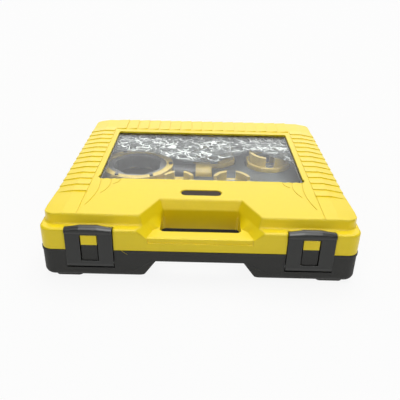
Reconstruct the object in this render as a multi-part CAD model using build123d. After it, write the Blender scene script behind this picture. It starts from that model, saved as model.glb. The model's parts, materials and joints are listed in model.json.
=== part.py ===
from build123d import *
import math
import os

# Carry case: a box with a hinged lid that has a clear window and a hand hole in its front edge.
# Millimetres, +Z up, front at -Y, origin below the middle of the whole object.
CASE_WIDTH = 402.0
CASE_DEPTH = 386.0
CASE_CORNER = 15.0
WALL = 2.5
PARTING_Z = 43.0
PARTING_GAP = 0.4
LEDGE_Z = 72.3
TOP_Z = 85.0
FOOT_HEIGHT = 2.6
FOOT_X = 169.0
FOOT_INSET = 24.0
HINGE_OVERHANG = 10.8
LATCH_OVERHANG = 3.8
FRONT_Y = -(CASE_DEPTH + HINGE_OVERHANG - LATCH_OVERHANG) / 2

# Raised top of the lid, measured back from the front face.
DOME_FRONT_FOOT = 12.0
DOME_FRONT_TOP = 17.5
DOME_BACK_TOP = 378.5
DOME_BACK_FOOT = 382.0
DOME_SIDE_FOOT = 198.0
DOME_SIDE_TOP = 196.5
DOME_CORNER = 15.0
DOME_BACK_CORNER = 8.0
SIDE_BEND_X = 174.0
SIDE_DROP = 4.0

# Shingle ribs beside the window and tiles behind it.
RIB_COUNT = 14
RIB_PITCH = 20.0
RIB_START = 80.0
RIB_INNER_X = 155.5
RIB_RISE = 1.3
RIB_TAIL = 0.15
CHEEK_SECTIONS = ((80.0, 1.3), (44.0, 2.6), (16.0, 2.0))
CHEEK_CORNER = 22.0
TILE_COUNT = 16
TILE_START = 332.0

# Window in the lid.
WINDOW_WIDTH = 294.0
WINDOW_FRONT = 123.0
WINDOW_BACK = 318.0
WINDOW_LIP = 6.0
LIP_DEPTH = 3.0
PANE_THICKNESS = 2.0
RETAINER_MARGIN = 16.0
RETAINER_THICKNESS = 2.0

# Hand hole, and the recess above it.
HOLE_HALF_WIDTH = 52.0
BAR_DEPTH = 18.5
HOLE_BACK = 57.0
BAR_TOP_Z = 61.5
RECESS_MID_Z = 71.7
NOTCH_TOP_Z = 28.0
NOTCH_TOP_HALF = 56.0
NOTCH_FOOT_HALF = 76.0
NOTCH_FLARE_HALF = 81.0
NOTCH_FLARE_Z = 7.0

# Badge place.
BADGE_CENTRE = 83.0
BADGE_LENGTH = 57.0
BADGE_HEIGHT = 17.0
BADGE_DEPTH = 1.6

# Two latches, each a frame that swings on a pin low in the base.
LATCH_X = 138.5
LATCH_HALF = 29.5
LATCH_GAP = 0.7
LATCH_POCKET = 8.8
LATCH_AXIS_DEPTH = 3.2
LATCH_AXIS_Z = 23.0
LATCH_BARREL_R = 5.0
LATCH_PIN_R = 1.75
RUNNING_CLEARANCE = 0.07
LATCH_TOP_Z = 74.5
LATCH_BAR_FOOT_Z = 65.2
LATCH_BAR_END = (1.2, 70.1, 4.4)
LATCH_BAR_MIDDLE = (2.4, 71.0, 6.2)
LATCH_BAR_FLAT_HALF = 11.0
LATCH_WINDOW_HALF = 11.3
CATCH_FRONT = -1.0
CATCH_TOP_Z = 64.6
STRIKE_TOP_Z = 50.5

# Rear hinge.
HINGE_X = 112.0
HINGE_AXIS_DEPTH = 392.3
KNUCKLE_R = 4.5
HINGE_PIN_R = 2.0
KNUCKLE_WIDTH = 18.0
KNUCKLE_GAP = 0.5

# Tray that carries the tools.
TRAY_Z = 49.0
TRAY_SKIN = 2.0
TRAY_FLOOR_Z = FOOT_HEIGHT + WALL + 0.2
TRAY_FRONT = 64.0
TRAY_BACK = 381.4
TRAY_HALF_WIDTH = 195.5

# Die heads: name, x, distance behind the front face, pipe outside diameter, crown radius.
HEADS = (
    ("dn8", -118.0, 112.0, 13.7, 24.0),
    ("dn10", -35.0, 160.0, 17.1, 24.0),
    ("dn15", 46.0, 160.0, 21.3, 29.0),
    ("dn20", 132.0, 112.0, 26.9, 31.0),
    ("dn25", 113.0, 271.0, 33.7, 33.0),
    ("dn32", 20.0, 284.0, 42.4, 34.5),
)
HEAD_Z = TRAY_FLOOR_Z + TRAY_SKIN + 0.1
HEAD_TOP_Z = 71.0
HEAD_FLATS = 72.0
HEAD_CORNER_R = HEAD_FLATS / 2 / math.cos(math.pi / 8)
DRIVE_FOOT_Z = 35.0
DRIVE_TOP_Z = 55.0
SLEEVE_R = 30.0
LUG_THICKNESS = 5.3
LUG_GAP = 14.0
CHASER_WIDTH = 11.0
CHASER_FOOT_Z = 44.0
COVER_THICKNESS = 2.3
SCREW_HEAD_R = 2.4

# Posts under the deck of the tray, and under the ring of the ratchet, as (x, distance).
DECK_POSTS = (
    (-185.0, 75.0), (-76.0, 80.0), (0.0, 80.0), (88.0, 90.0), (185.0, 75.0), (-185.0, 165.0),
    (-185.0, 300.0), (-183.0, 370.0), (-40.0, 300.0), (75.0, 205.0), (185.0, 190.0), (180.0, 318.0),
    (183.0, 370.0),
)
RING_POST_OFFSET = 36.0

# Ratchet head and its two-piece handle.
RATCHET_X = -105.0
RATCHET_DEPTH = 226.0
RATCHET_FOOT_Z = 36.0
RATCHET_HEIGHT = 25.0
RATCHET_MID_Z = RATCHET_FOOT_Z + RATCHET_HEIGHT / 2 + 1
RATCHET_R = 58.0
RATCHET_BORE_R = 50.2
RATCHET_LIP_R = 44.0
RATCHET_LIP = 3.0
RATCHET_COVER_INNER_R = 47.5
TOOTH_COUNT = 24
TOOTH_TIP_R = 49.8
TOOTH_ROOT_R = 46.0
DRIVE_CLEARANCE = 0.6
SOCKET_R = 14.5
SOCKET_ARM_R = 13.5
SOCKET_BORE_R = 10.5
SOCKET_COLLAR_X = -10.0
SOCKET_END_X = 16.0
PAWL_R = 5.6
PAWL_BORE_R = 6.0
PAWL_TIP = 50.5
PAWL_STEM_R = 2.8
BOSS_REACH = 76.0
KNOB_R = 8.5
HANDLE_R = 12.5
HANDLE_Z = 49.5
HANDLE_LENGTH = 330.0
COUPLER_LENGTH = 27.0
LOWER_HANDLE_DEPTH = 338.5
UPPER_HANDLE_DEPTH = 366.5

FILM_Z = HEAD_TOP_Z + 0.4
FILM_THICKNESS = 1.2


def back(distance):
    """Row y of a place this far behind the front face."""
    return FRONT_Y + distance


def block(x0, x1, d0, d1, z0, z1):
    """Box between two x, two distances behind the front face, and two heights."""
    return Pos((x0 + x1) / 2, back((d0 + d1) / 2), (z0 + z1) / 2) * Box(x1 - x0, d1 - d0, z1 - z0)


def tube(x, distance, z0, z1, radius, inner=0.0):
    """Upright cylinder, hollow where an inner radius is given."""
    place = Pos(x, back(distance), (z0 + z1) / 2)
    solid = place * Cylinder(radius, z1 - z0)
    if inner:
        solid -= place * Cylinder(inner, z1 - z0 + 2)
    return solid


def rod_x(x0, x1, distance, z, radius):
    """Cylinder along X."""
    return Pos((x0 + x1) / 2, back(distance), z) * Rot(0, 90, 0) * Cylinder(radius, x1 - x0)


def rod_y(x, d0, d1, z, radius):
    """Cylinder along Y."""
    return Pos(x, back((d0 + d1) / 2), z) * Rot(90, 0, 0) * Cylinder(radius, d1 - d0)


def rounded_plate(width, d0, d1, z0, z1, corner):
    """Upright plate with rounded corners."""
    sketch = Pos(0, back((d0 + d1) / 2), z0) * RectangleRounded(width, d1 - d0, corner)
    return extrude(sketch, z1 - z0)


def side_prism(points, x0, x1):
    """Prism along X from points given as (distance behind the front face, height)."""
    outline = Polyline([Vector(x0, back(d), z) for d, z in points], close=True)
    return extrude(make_face(outline), x1 - x0, dir=(1, 0, 0))


def front_prism(points, d0, d1):
    """Prism along Y from points given as (x, height)."""
    outline = Polyline([Vector(x, back(d0), z) for x, z in points], close=True)
    return extrude(make_face(outline), d1 - d0, dir=(0, 1, 0))


def plan_face(points, z):
    """Level face from points given as (x, distance behind the front face)."""
    return make_face(Polyline([Vector(x, back(d), z) for x, d in points], close=True))


def mirrored(solid):
    """The solid and its mirror image across the middle plane."""
    return [solid, mirror(solid, Plane.YZ)]


def dome_plan(half_width, front, rear, inset):
    """Plan of the raised top at one height, with tighter corners at the back."""
    plan = Pos(0, back((front + rear) / 2)) * Rectangle(2 * (half_width - inset), rear - front - 2 * inset)
    plan = fillet(plan.vertices().group_by(Axis.Y)[0], DOME_CORNER - inset)
    plan = fillet(plan.vertices().group_by(Axis.Y)[-1], DOME_BACK_CORNER - inset)
    return plan.face()


def dome(inset):
    """Raised top of the lid, drawn in by the inset for its inner side."""
    foot_z = LEDGE_Z - 4
    top_z = TOP_Z - inset
    foot = dome_plan(DOME_SIDE_FOOT, DOME_FRONT_FOOT, DOME_BACK_FOOT, inset)
    top = dome_plan(DOME_SIDE_TOP, DOME_FRONT_TOP, DOME_BACK_TOP, inset)
    solid = loft([Pos(0, 0, foot_z) * foot, Pos(0, 0, top_z) * top], ruled=True)
    bend_x = SIDE_BEND_X - inset / 4
    outer_x = DOME_SIDE_TOP + 6
    drop = SIDE_DROP * (outer_x - SIDE_BEND_X) / (DOME_SIDE_TOP - SIDE_BEND_X)
    points = [(bend_x, top_z), (outer_x, top_z - drop), (outer_x, top_z + 5), (bend_x, top_z + 5)]
    return solid - mirrored(front_prism(points, 0, CASE_DEPTH))


def rib_section(distance, rise):
    """Cross-section of one shingle rib over the bent side of the lid."""
    drop_z = TOP_Z - SIDE_DROP
    points = [
        (RIB_INNER_X, TOP_Z + rise),
        (SIDE_BEND_X, TOP_Z + rise),
        (DOME_SIDE_TOP + rise, drop_z + rise / 2),
        (DOME_SIDE_FOOT + rise * 0.8, LEDGE_Z - 1),
        (DOME_SIDE_FOOT - 1.5, LEDGE_Z - 1),
        (DOME_SIDE_TOP - 1.5, drop_z - 1.5),
        (SIDE_BEND_X - 1, TOP_Z - 1.5),
        (RIB_INNER_X, TOP_Z - 1.5),
    ]
    return make_face(Polyline([Vector(x, back(distance), z) for x, z in points], close=True))


def side_ribs():
    """Shingle ribs on both sides, each highest at its front."""
    ribs = []
    for index in range(RIB_COUNT - 1):
        start = RIB_START + RIB_PITCH * index
        rib = loft([rib_section(start, RIB_RISE), rib_section(start + RIB_PITCH, RIB_TAIL)], ruled=True)
        ribs += mirrored(rib)
    return ribs


def cheek_section(distance, rise):
    """Cross-section of the smooth cheek in front of the ribs."""
    drop_z = TOP_Z - SIDE_DROP
    points = [
        (SIDE_BEND_X, TOP_Z - 0.02),
        (DOME_SIDE_TOP + rise, drop_z + rise * 0.4),
        (DOME_SIDE_FOOT + rise * 0.7, LEDGE_Z - 1),
        (DOME_SIDE_FOOT - 2, LEDGE_Z - 1),
        (DOME_SIDE_TOP - 2, drop_z - 1.5),
        (SIDE_BEND_X, TOP_Z - 1.5),
    ]
    return make_face(Polyline([Vector(x, back(distance), z) for x, z in points], close=True))


def side_cheeks():
    """Smooth cheeks between the front of the raised top and the first ribs."""
    sections = [cheek_section(distance, rise) for distance, rise in CHEEK_SECTIONS]
    width = 2 * DOME_SIDE_FOOT + 6
    plan = rounded_plate(width, DOME_FRONT_TOP, CASE_DEPTH, LEDGE_Z - 2, TOP_Z + 2, CHEEK_CORNER)
    return mirrored(loft(sections, ruled=True) & plan)


def back_tiles():
    """Row of tilted tiles between the window and the back edge."""
    pitch = 2 * RIB_INNER_X / TILE_COUNT
    tiles = []
    for index in range(TILE_COUNT):
        x0 = -RIB_INNER_X + pitch * index
        x1 = x0 + pitch - 1.6
        points = [
            (x0, TOP_Z + 0.25),
            (x1, TOP_Z + RIB_RISE),
            (x1, TOP_Z - 1.5),
            (x0, TOP_Z - 1.5),
        ]
        tiles.append(front_prism(points, TILE_START, DOME_BACK_TOP + 0.6))
    return tiles


def recess_plan(right_side, z, growth):
    """Plan of the recess at one height, from its right side given front to rear."""
    rear = len(right_side) - 1
    right = [(x + growth, d + growth if index == rear else d) for index, (x, d) in enumerate(right_side)]
    left = [(-x, d) for x, d in reversed(right)]
    return plan_face(right + left, z)


def hand_recess(growth):
    """Space over the handle bar, grown outwards for the inner side of its walls."""
    wide = ((90.0, -8.0), (74.2, 24.4), (70.7, 31.5), (55.0, 63.9))
    middle = ((84.0, -8.0), (68.7, 21.2), (65.3, 27.7), (50.0, HOLE_BACK))
    low = ((69.5, -8.0), (60.5, 21.0), (53.0, 27.0), (50.0, HOLE_BACK))
    wide_plan = recess_plan(wide, TOP_Z + 2, growth)
    middle_plan = recess_plan(middle, RECESS_MID_Z - growth, growth)
    low_plan = recess_plan(low, BAR_TOP_Z - growth, growth)
    return loft([middle_plan, wide_plan], ruled=True) + loft([low_plan, middle_plan], ruled=True)


def hand_hole(growth, z0, z1):
    """Straight hole for the fingers behind the handle bar."""
    front = BAR_DEPTH - growth
    rear = HOLE_BACK + growth
    return rounded_plate(2 * (HOLE_HALF_WIDTH + growth), front, rear, z0, z1, 6 + growth)


def latch_pockets(growth, z0, z1):
    """Front pockets in which the latches lie."""
    half = LATCH_HALF + LATCH_GAP + growth
    return mirrored(block(LATCH_X - half, LATCH_X + half, -2 - growth, LATCH_POCKET + growth, z0, z1))


def window_hole(z0, z1):
    """Window opening with three shallow scallops at each front corner."""
    middle = (WINDOW_FRONT + WINDOW_BACK) / 2
    sketch = Pos(0, back(middle), z0) * RectangleRounded(WINDOW_WIDTH, WINDOW_BACK - WINDOW_FRONT, 3)
    hole = extrude(sketch, z1 - z0)
    scallop_r = 8.0
    for step in range(3):
        x = WINDOW_WIDTH / 2 - 6.5 - 10.5 * step
        hole += mirrored(tube(x, WINDOW_FRONT + scallop_r - 1.8, z0, z1, scallop_r))
    return hole


def lid_grooves():
    """Straight side grooves and three curved claw grooves in each front corner of the top."""
    depth_z = TOP_Z - 0.7
    groove_front = DOME_FRONT_TOP - 3
    grooves = [block(RIB_INNER_X - 0.6, RIB_INNER_X + 0.6, groove_front, RIB_START, depth_z, TOP_Z + 1)]
    claws = (
        ((143.5, 120.0), (141.5, 80.0), (149.5, 42.0)),
        ((129.5, 120.0), (129.0, 92.0), (136.0, 76.0)),
        ((115.5, 120.0), (117.5, 111.5), (123.5, 105.0)),
    )
    for start, middle, end in claws:
        arc = ThreePointArc(*[(x, back(d)) for x, d in (start, middle, end)])
        grooves.append(extrude(Pos(0, 0, depth_z) * SlotArc(arc, 1.3), 2))
    pairs = []
    for groove in grooves:
        pairs += mirrored(groove)
    return pairs


def lid_inside():
    """Hollow of the lid, around the walls of the hand hole and the latch pockets."""
    hollow = rounded_plate(
        CASE_WIDTH - 2 * WALL, WALL, CASE_DEPTH - WALL, PARTING_Z - 1, LEDGE_Z - WALL, CASE_CORNER - WALL
    )
    hollow += dome(WALL)
    hollow -= hand_recess(WALL)
    hollow -= hand_hole(WALL, PARTING_Z - 2, TOP_Z)
    hollow -= latch_pockets(WALL, PARTING_Z - 2, LEDGE_Z + 2)
    return hollow


def window_corners():
    """Places of the eight retainer screws, as (x, distance behind the front face)."""
    half = WINDOW_WIDTH / 2 + RETAINER_MARGIN - 4
    near = WINDOW_FRONT - RETAINER_MARGIN + 4
    far = WINDOW_BACK + RETAINER_MARGIN - 4
    third = (far - near) / 3
    places = []
    for step in range(4):
        places += [(-half, near + third * step), (half, near + third * step)]
    return places


def lid_outer():
    """Outside form of the lid, before it is hollowed."""
    flange = rounded_plate(CASE_WIDTH, 0, CASE_DEPTH, PARTING_Z + PARTING_GAP / 2, LEDGE_Z, CASE_CORNER)
    flange = fillet(flange.edges().filter_by_position(Axis.Z, LEDGE_Z - 0.01, LEDGE_Z + 0.01), 2.2)
    solid = flange + dome(0)
    solid += side_ribs()
    solid += side_cheeks()
    solid += back_tiles()
    lip_z = BAR_TOP_Z - 7
    lip_points = [(-1, lip_z), (1.4, lip_z), (1.8, BAR_TOP_Z - 1.2), (3.0, BAR_TOP_Z), (3.0, BAR_TOP_Z + 3)]
    lip = side_prism(lip_points + [(-1, BAR_TOP_Z + 3)], -66, 66)
    return solid - hand_recess(0) - lip


def hinge_knuckles(first, count, z_arm0, z_arm1):
    """Alternate knuckles of both hinges, with the arms that carry them."""
    step = KNUCKLE_WIDTH + KNUCKLE_GAP
    solids = []
    for index in range(first, 3, 2)[:count]:
        x0 = HINGE_X - 1.5 * step + KNUCKLE_GAP / 2 + step * index
        x1 = x0 + KNUCKLE_WIDTH
        barrel = rod_x(x0, x1, HINGE_AXIS_DEPTH, PARTING_Z, KNUCKLE_R)
        arm = block(x0, x1, CASE_DEPTH - 1.5, HINGE_AXIS_DEPTH, z_arm0, z_arm1)
        bore = rod_x(x0 - 1, x1 + 1, HINGE_AXIS_DEPTH, PARTING_Z, HINGE_PIN_R + RUNNING_CLEARANCE)
        solids += mirrored(barrel + arm - bore)
    return solids


def lid_shell():
    """Yellow lid with its window opening, hand hole and latch catches."""
    shell = lid_outer() - lid_inside()
    rim_z = TOP_Z - LIP_DEPTH
    rim_half = WINDOW_WIDTH / 2 + WINDOW_LIP
    rim_front = WINDOW_FRONT - WINDOW_LIP
    rim_back = WINDOW_BACK + WINDOW_LIP
    shell += block(-rim_half, rim_half, rim_front, rim_back, rim_z, TOP_Z - WALL)
    for x, distance in window_corners():
        shell += tube(x, distance, rim_z - PANE_THICKNESS, TOP_Z - WALL, 3.5)
    shell -= window_hole(rim_z - 1, TOP_Z + 5)
    for x, distance in window_corners():
        shell -= tube(x, distance, rim_z - PANE_THICKNESS - 1, TOP_Z - WALL, 1.3)
    shell -= hand_hole(0, PARTING_Z - 2, TOP_Z)
    shell -= latch_pockets(0, PARTING_Z - 2, LEDGE_Z + 8)
    shell -= lid_grooves()
    badge = Pos(0, back(BADGE_CENTRE), TOP_Z - BADGE_DEPTH) * SlotOverall(BADGE_LENGTH, BADGE_HEIGHT)
    shell -= extrude(badge, 5)
    half = LATCH_WINDOW_HALF - 1.3
    foot_z = STRIKE_TOP_Z + PARTING_GAP
    catch = block(LATCH_X - half, LATCH_X + half, CATCH_FRONT, LATCH_POCKET + 1, foot_z, CATCH_TOP_Z)
    catch += block(LATCH_X - half, LATCH_X + half, 6.2, LATCH_POCKET + 1, foot_z, LATCH_TOP_Z - 6)
    shell += mirrored(catch)
    shell += hinge_knuckles(1, 1, PARTING_Z + 0.3, PARTING_Z + KNUCKLE_R)
    return shell


def window_pane():
    """Clear sheet under the lip of the window."""
    half = WINDOW_WIDTH / 2 + WINDOW_LIP
    top_z = TOP_Z - LIP_DEPTH - 0.05
    foot_z = top_z - PANE_THICKNESS + 0.1
    return block(-half, half, WINDOW_FRONT - WINDOW_LIP, WINDOW_BACK + WINDOW_LIP, foot_z, top_z)


def window_retainer():
    """Frame screwed up against the pane."""
    half = WINDOW_WIDTH / 2 + RETAINER_MARGIN
    near = WINDOW_FRONT - RETAINER_MARGIN
    far = WINDOW_BACK + RETAINER_MARGIN
    top_z = TOP_Z - LIP_DEPTH - PANE_THICKNESS
    frame = rounded_plate(2 * half, near, far, top_z - RETAINER_THICKNESS, top_z, 5)
    frame -= block(-half + 18, half - 18, near + 18, far - 18, top_z - 5, top_z + 1)
    for x, distance in window_corners():
        frame -= tube(x, distance, top_z - 5, top_z + 1, 1.7)
    return frame


def window_screws():
    """Eight pan-head screws that hold the retainer."""
    seat_z = TOP_Z - LIP_DEPTH - PANE_THICKNESS - RETAINER_THICKNESS
    screws = []
    for x, distance in window_corners():
        head = tube(x, distance, seat_z - 1.4, seat_z, 2.8)
        screws.append(head + tube(x, distance, seat_z, TOP_Z - LIP_DEPTH, 1.3))
    return Compound(children=screws)


def badge_plate():
    """Plain oval plate in its recess, with nothing on it."""
    sketch = Pos(0, back(BADGE_CENTRE), TOP_Z - BADGE_DEPTH) * SlotOverall(BADGE_LENGTH - 3, BADGE_HEIGHT - 3)
    return extrude(sketch, 1.0)


def base_outer():
    """Outside form of the base: tub, rim and four moulded feet."""
    top_z = PARTING_Z - PARTING_GAP / 2
    tub = rounded_plate(CASE_WIDTH, 0, CASE_DEPTH, FOOT_HEIGHT, top_z, CASE_CORNER)
    tub = fillet(tub.edges().filter_by_position(Axis.Z, FOOT_HEIGHT - 0.01, FOOT_HEIGHT + 0.01), 8)
    rim = rounded_plate(CASE_WIDTH + 1.6, -0.8, CASE_DEPTH + 0.8, top_z - 3.4, top_z, CASE_CORNER + 0.8)
    feet = []
    for distance in (FOOT_INSET, CASE_DEPTH - FOOT_INSET):
        for x in (-FOOT_X, FOOT_X):
            pad = Pos(x, back(distance), FOOT_HEIGHT + 1) * RectangleRounded(36, 38, 6)
            feet.append(extrude(pad, -FOOT_HEIGHT - 1, taper=15))
    return tub + rim + feet


def base_notch(growth):
    """Space under the handle bar, open to the front and below."""
    flare_z = NOTCH_FLARE_Z + growth / 2
    knee_half = NOTCH_TOP_HALF + (NOTCH_FOOT_HALF - NOTCH_TOP_HALF) * (1 - NOTCH_FLARE_Z / NOTCH_TOP_Z)
    right = [
        (NOTCH_TOP_HALF + growth, NOTCH_TOP_Z + growth),
        (knee_half + growth, flare_z),
        (NOTCH_FLARE_HALF + growth, FOOT_HEIGHT - 0.1),
        (NOTCH_FLARE_HALF + growth, -1),
    ]
    left = [(-x, z) for x, z in reversed(right)]
    return front_prism(left + right, -2, HOLE_BACK + growth)


def rim_tongue():
    """Upstand inside the rim that guides the lid as it closes."""
    top_z = PARTING_Z - PARTING_GAP / 2
    foot_z = top_z - 3
    outer = WALL + 0.6
    inner = WALL + 1.8
    tongue_z = top_z + 2.4
    corner = CASE_CORNER - outer
    ring = rounded_plate(CASE_WIDTH - 2 * outer, outer, CASE_DEPTH - outer, foot_z, tongue_z, corner)
    ring += rounded_plate(CASE_WIDTH - 2, 1, CASE_DEPTH - 1, foot_z, top_z, CASE_CORNER - 1)
    ring -= rounded_plate(CASE_WIDTH - 2 * inner, inner, CASE_DEPTH - inner, 0, TOP_Z, CASE_CORNER - inner)
    ring -= block(-90, 90, -5, 70, 0, TOP_Z)
    ring -= latch_pockets(WALL + 0.8, 0, TOP_Z)
    return ring


def base_shell():
    """Black base with finger notch, latch pockets and hinge knuckles."""
    inside = rounded_plate(
        CASE_WIDTH - 2 * WALL, WALL, CASE_DEPTH - WALL, FOOT_HEIGHT + WALL, TOP_Z, CASE_CORNER - WALL
    )
    inside = fillet(
        inside.edges().filter_by_position(Axis.Z, FOOT_HEIGHT + WALL - 0.01, FOOT_HEIGHT + WALL + 0.01), 5.5
    )
    inside -= base_notch(WALL)
    inside -= hand_hole(WALL, -1, TOP_Z + 1)
    pocket_z = LATCH_AXIS_Z - 6.6
    inside -= latch_pockets(WALL, pocket_z - 4, TOP_Z + 1)
    shell = base_outer() - inside
    shell += rim_tongue()
    shell -= base_notch(0)
    shell -= hand_hole(0, -1, TOP_Z)
    shell -= latch_pockets(0, pocket_z, TOP_Z)
    half = LATCH_WINDOW_HALF - 1.3
    block_foot = LATCH_AXIS_Z + LATCH_BARREL_R + 0.6
    block_top = PARTING_Z - PARTING_GAP / 2
    strike = block(LATCH_X - half, LATCH_X + half, CATCH_FRONT, LATCH_POCKET + 1, block_foot, block_top)
    strike += block(LATCH_X - half, LATCH_X + half, CATCH_FRONT, LATCH_POCKET - 1, block_foot, STRIKE_TOP_Z)
    shell += mirrored(strike)
    pin_half = LATCH_HALF + LATCH_GAP + WALL - 0.5
    pin_hole = rod_x(LATCH_X - pin_half, LATCH_X + pin_half, LATCH_AXIS_DEPTH, LATCH_AXIS_Z, LATCH_PIN_R)
    shell -= mirrored(pin_hole)
    shell += hinge_knuckles(0, 2, PARTING_Z - KNUCKLE_R, PARTING_Z - 0.3)
    return shell


def latch_bar_section(x, section):
    """Round section of the latch's bar, as (distance, height, radius)."""
    distance, z, radius = section
    return Plane(origin=(x, back(distance), z), x_dir=(0, 1, 0), z_dir=(1, 0, 0)) * Circle(radius)


def latch_bar():
    """Finger bar of the right-hand latch in three facets, thickest in the middle."""
    x0 = LATCH_X - LATCH_HALF
    x1 = LATCH_X + LATCH_HALF
    sections = [
        latch_bar_section(x0, LATCH_BAR_END),
        latch_bar_section(LATCH_X - LATCH_BAR_FLAT_HALF, LATCH_BAR_MIDDLE),
        latch_bar_section(LATCH_X + LATCH_BAR_FLAT_HALF, LATCH_BAR_MIDDLE),
        latch_bar_section(x1, LATCH_BAR_END),
    ]
    bar = loft(sections, ruled=True)
    return bar - block(x0 - 1, x1 + 1, 5.6, 12, 50, 90)


def latch():
    """Right-hand latch: a frame with a faceted finger bar and a barrel on its pin."""
    x0 = LATCH_X - LATCH_HALF
    x1 = LATCH_X + LATCH_HALF
    z = LATCH_AXIS_Z
    leg_top = LATCH_BAR_FOOT_Z + 3
    leg_front = [(-1.8, leg_top), (-2.3, z + 6), (-2.5, z + 0.8), (-1.7, z - 2.8), (0.0, z - 4.6)]
    leg_back = [(3.2, z - 5.2), (3.2, z), (2.6, z + 6), (2.6, leg_top)]
    frame = side_prism(leg_front + leg_back, x0, x1)
    frame += latch_bar()
    frame += rod_x(x0, x1, LATCH_AXIS_DEPTH, z, LATCH_BARREL_R)
    window_foot = z + LATCH_BARREL_R + 0.2
    frame -= block(
        LATCH_X - LATCH_WINDOW_HALF, LATCH_X + LATCH_WINDOW_HALF, -8, 12, window_foot, LATCH_BAR_FOOT_Z
    )
    return frame - rod_x(x0 - 1, x1 + 1, LATCH_AXIS_DEPTH, z, LATCH_PIN_R + RUNNING_CLEARANCE)


def latch_pins():
    """Two plain pins, each pressed into the side walls of its pocket."""
    half = LATCH_HALF + LATCH_GAP + WALL - 0.5
    pin = rod_x(LATCH_X - half, LATCH_X + half, LATCH_AXIS_DEPTH, LATCH_AXIS_Z, LATCH_PIN_R)
    return Compound(children=mirrored(pin))


def hinge_pins():
    """Two steel hinge pins."""
    half = 1.5 * (KNUCKLE_WIDTH + KNUCKLE_GAP) + 0.4
    pin = rod_x(HINGE_X - half, HINGE_X + half, HINGE_AXIS_DEPTH, PARTING_Z, HINGE_PIN_R)
    return Compound(children=mirrored(pin))


def tray_slots():
    """Slots of the deck for the handle tubes, the ratchet's socket and its pawl boss."""
    foot_z = TRAY_Z - TRAY_SKIN - 1
    half = HANDLE_LENGTH / 2 + 2
    reach = HANDLE_R + 0.6
    handles = block(-half, half, LOWER_HANDLE_DEPTH - reach, UPPER_HANDLE_DEPTH + reach, foot_z, TOP_Z)
    socket = SOCKET_R + 1
    near = RATCHET_DEPTH - socket
    far = RATCHET_DEPTH + socket
    boss = 14.5
    boss_end = RATCHET_DEPTH + BOSS_REACH + 15
    return [
        handles,
        block(RATCHET_X, SOCKET_END_X + 1, near, far, foot_z, TOP_Z),
        block(RATCHET_X - boss, RATCHET_X + boss, RATCHET_DEPTH, boss_end, foot_z, TOP_Z),
    ]


def tool_tray():
    """Deck of the tray, with a place for each head, the ratchet and the handle tubes."""
    foot_z = TRAY_Z - TRAY_SKIN
    deck = rounded_plate(2 * TRAY_HALF_WIDTH, TRAY_FRONT, TRAY_BACK, foot_z, TRAY_Z, 13)
    for _, x, distance, *_ in HEADS:
        deck -= tube(x, distance, foot_z - 1, TOP_Z, HEAD_CORNER_R + 0.8)
    deck -= tube(RATCHET_X, RATCHET_DEPTH, foot_z - 1, TOP_Z, RATCHET_R + 1)
    return deck - tray_slots()


def tray_walls():
    """Four straight walls under the edges of the deck."""
    foot_z = TRAY_FLOOR_Z + 6
    top_z = TRAY_Z - TRAY_SKIN
    inner = TRAY_HALF_WIDTH - TRAY_SKIN
    front = block(-182, 182, TRAY_FRONT, TRAY_FRONT + TRAY_SKIN, foot_z, top_z)
    rear = block(-182, 182, TRAY_BACK - TRAY_SKIN, TRAY_BACK, foot_z, top_z)
    side = block(inner, TRAY_HALF_WIDTH, TRAY_FRONT + 14, TRAY_BACK - 14, foot_z, top_z)
    return Compound(children=[front, rear] + mirrored(side))


def tray_supports():
    """Posts under the deck and the ratchet ring, and blocks under the handle tubes."""
    foot_z = TRAY_FLOOR_Z + TRAY_SKIN
    supports = []
    for x, distance in DECK_POSTS:
        supports.append(tube(x, distance, foot_z, TRAY_Z - TRAY_SKIN, 5))
    for dx in (-RING_POST_OFFSET, RING_POST_OFFSET):
        for dy in (-RING_POST_OFFSET, RING_POST_OFFSET):
            supports.append(tube(RATCHET_X + dx, RATCHET_DEPTH + dy, foot_z, RATCHET_FOOT_Z - 0.1, 6))
    saddle_z = HANDLE_Z - HANDLE_R - 0.2
    for x in (-110, 0, 110):
        for distance in (LOWER_HANDLE_DEPTH, UPPER_HANDLE_DEPTH):
            supports.append(block(x - 6, x + 6, distance - 9, distance + 9, foot_z, saddle_z))
    return Compound(children=supports)


def floor_mat():
    """Flat mat on the floor of the base, on which the heads stand."""
    return rounded_plate(384, TRAY_FRONT + 2, 378, TRAY_FLOOR_Z, TRAY_FLOOR_Z + TRAY_SKIN, 12)


def screw_places(x, distance, pipe, crown):
    """Places of the four cover screws of a head, each as (x, distance, angle)."""
    radius = (crown - LUG_THICKNESS + pipe / 2 + 2) / 2
    places = []
    for angle in (45, 135, 225, 315):
        turn = math.radians(angle)
        places.append((x + radius * math.cos(turn), distance + radius * math.sin(turn), angle))
    return places


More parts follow.
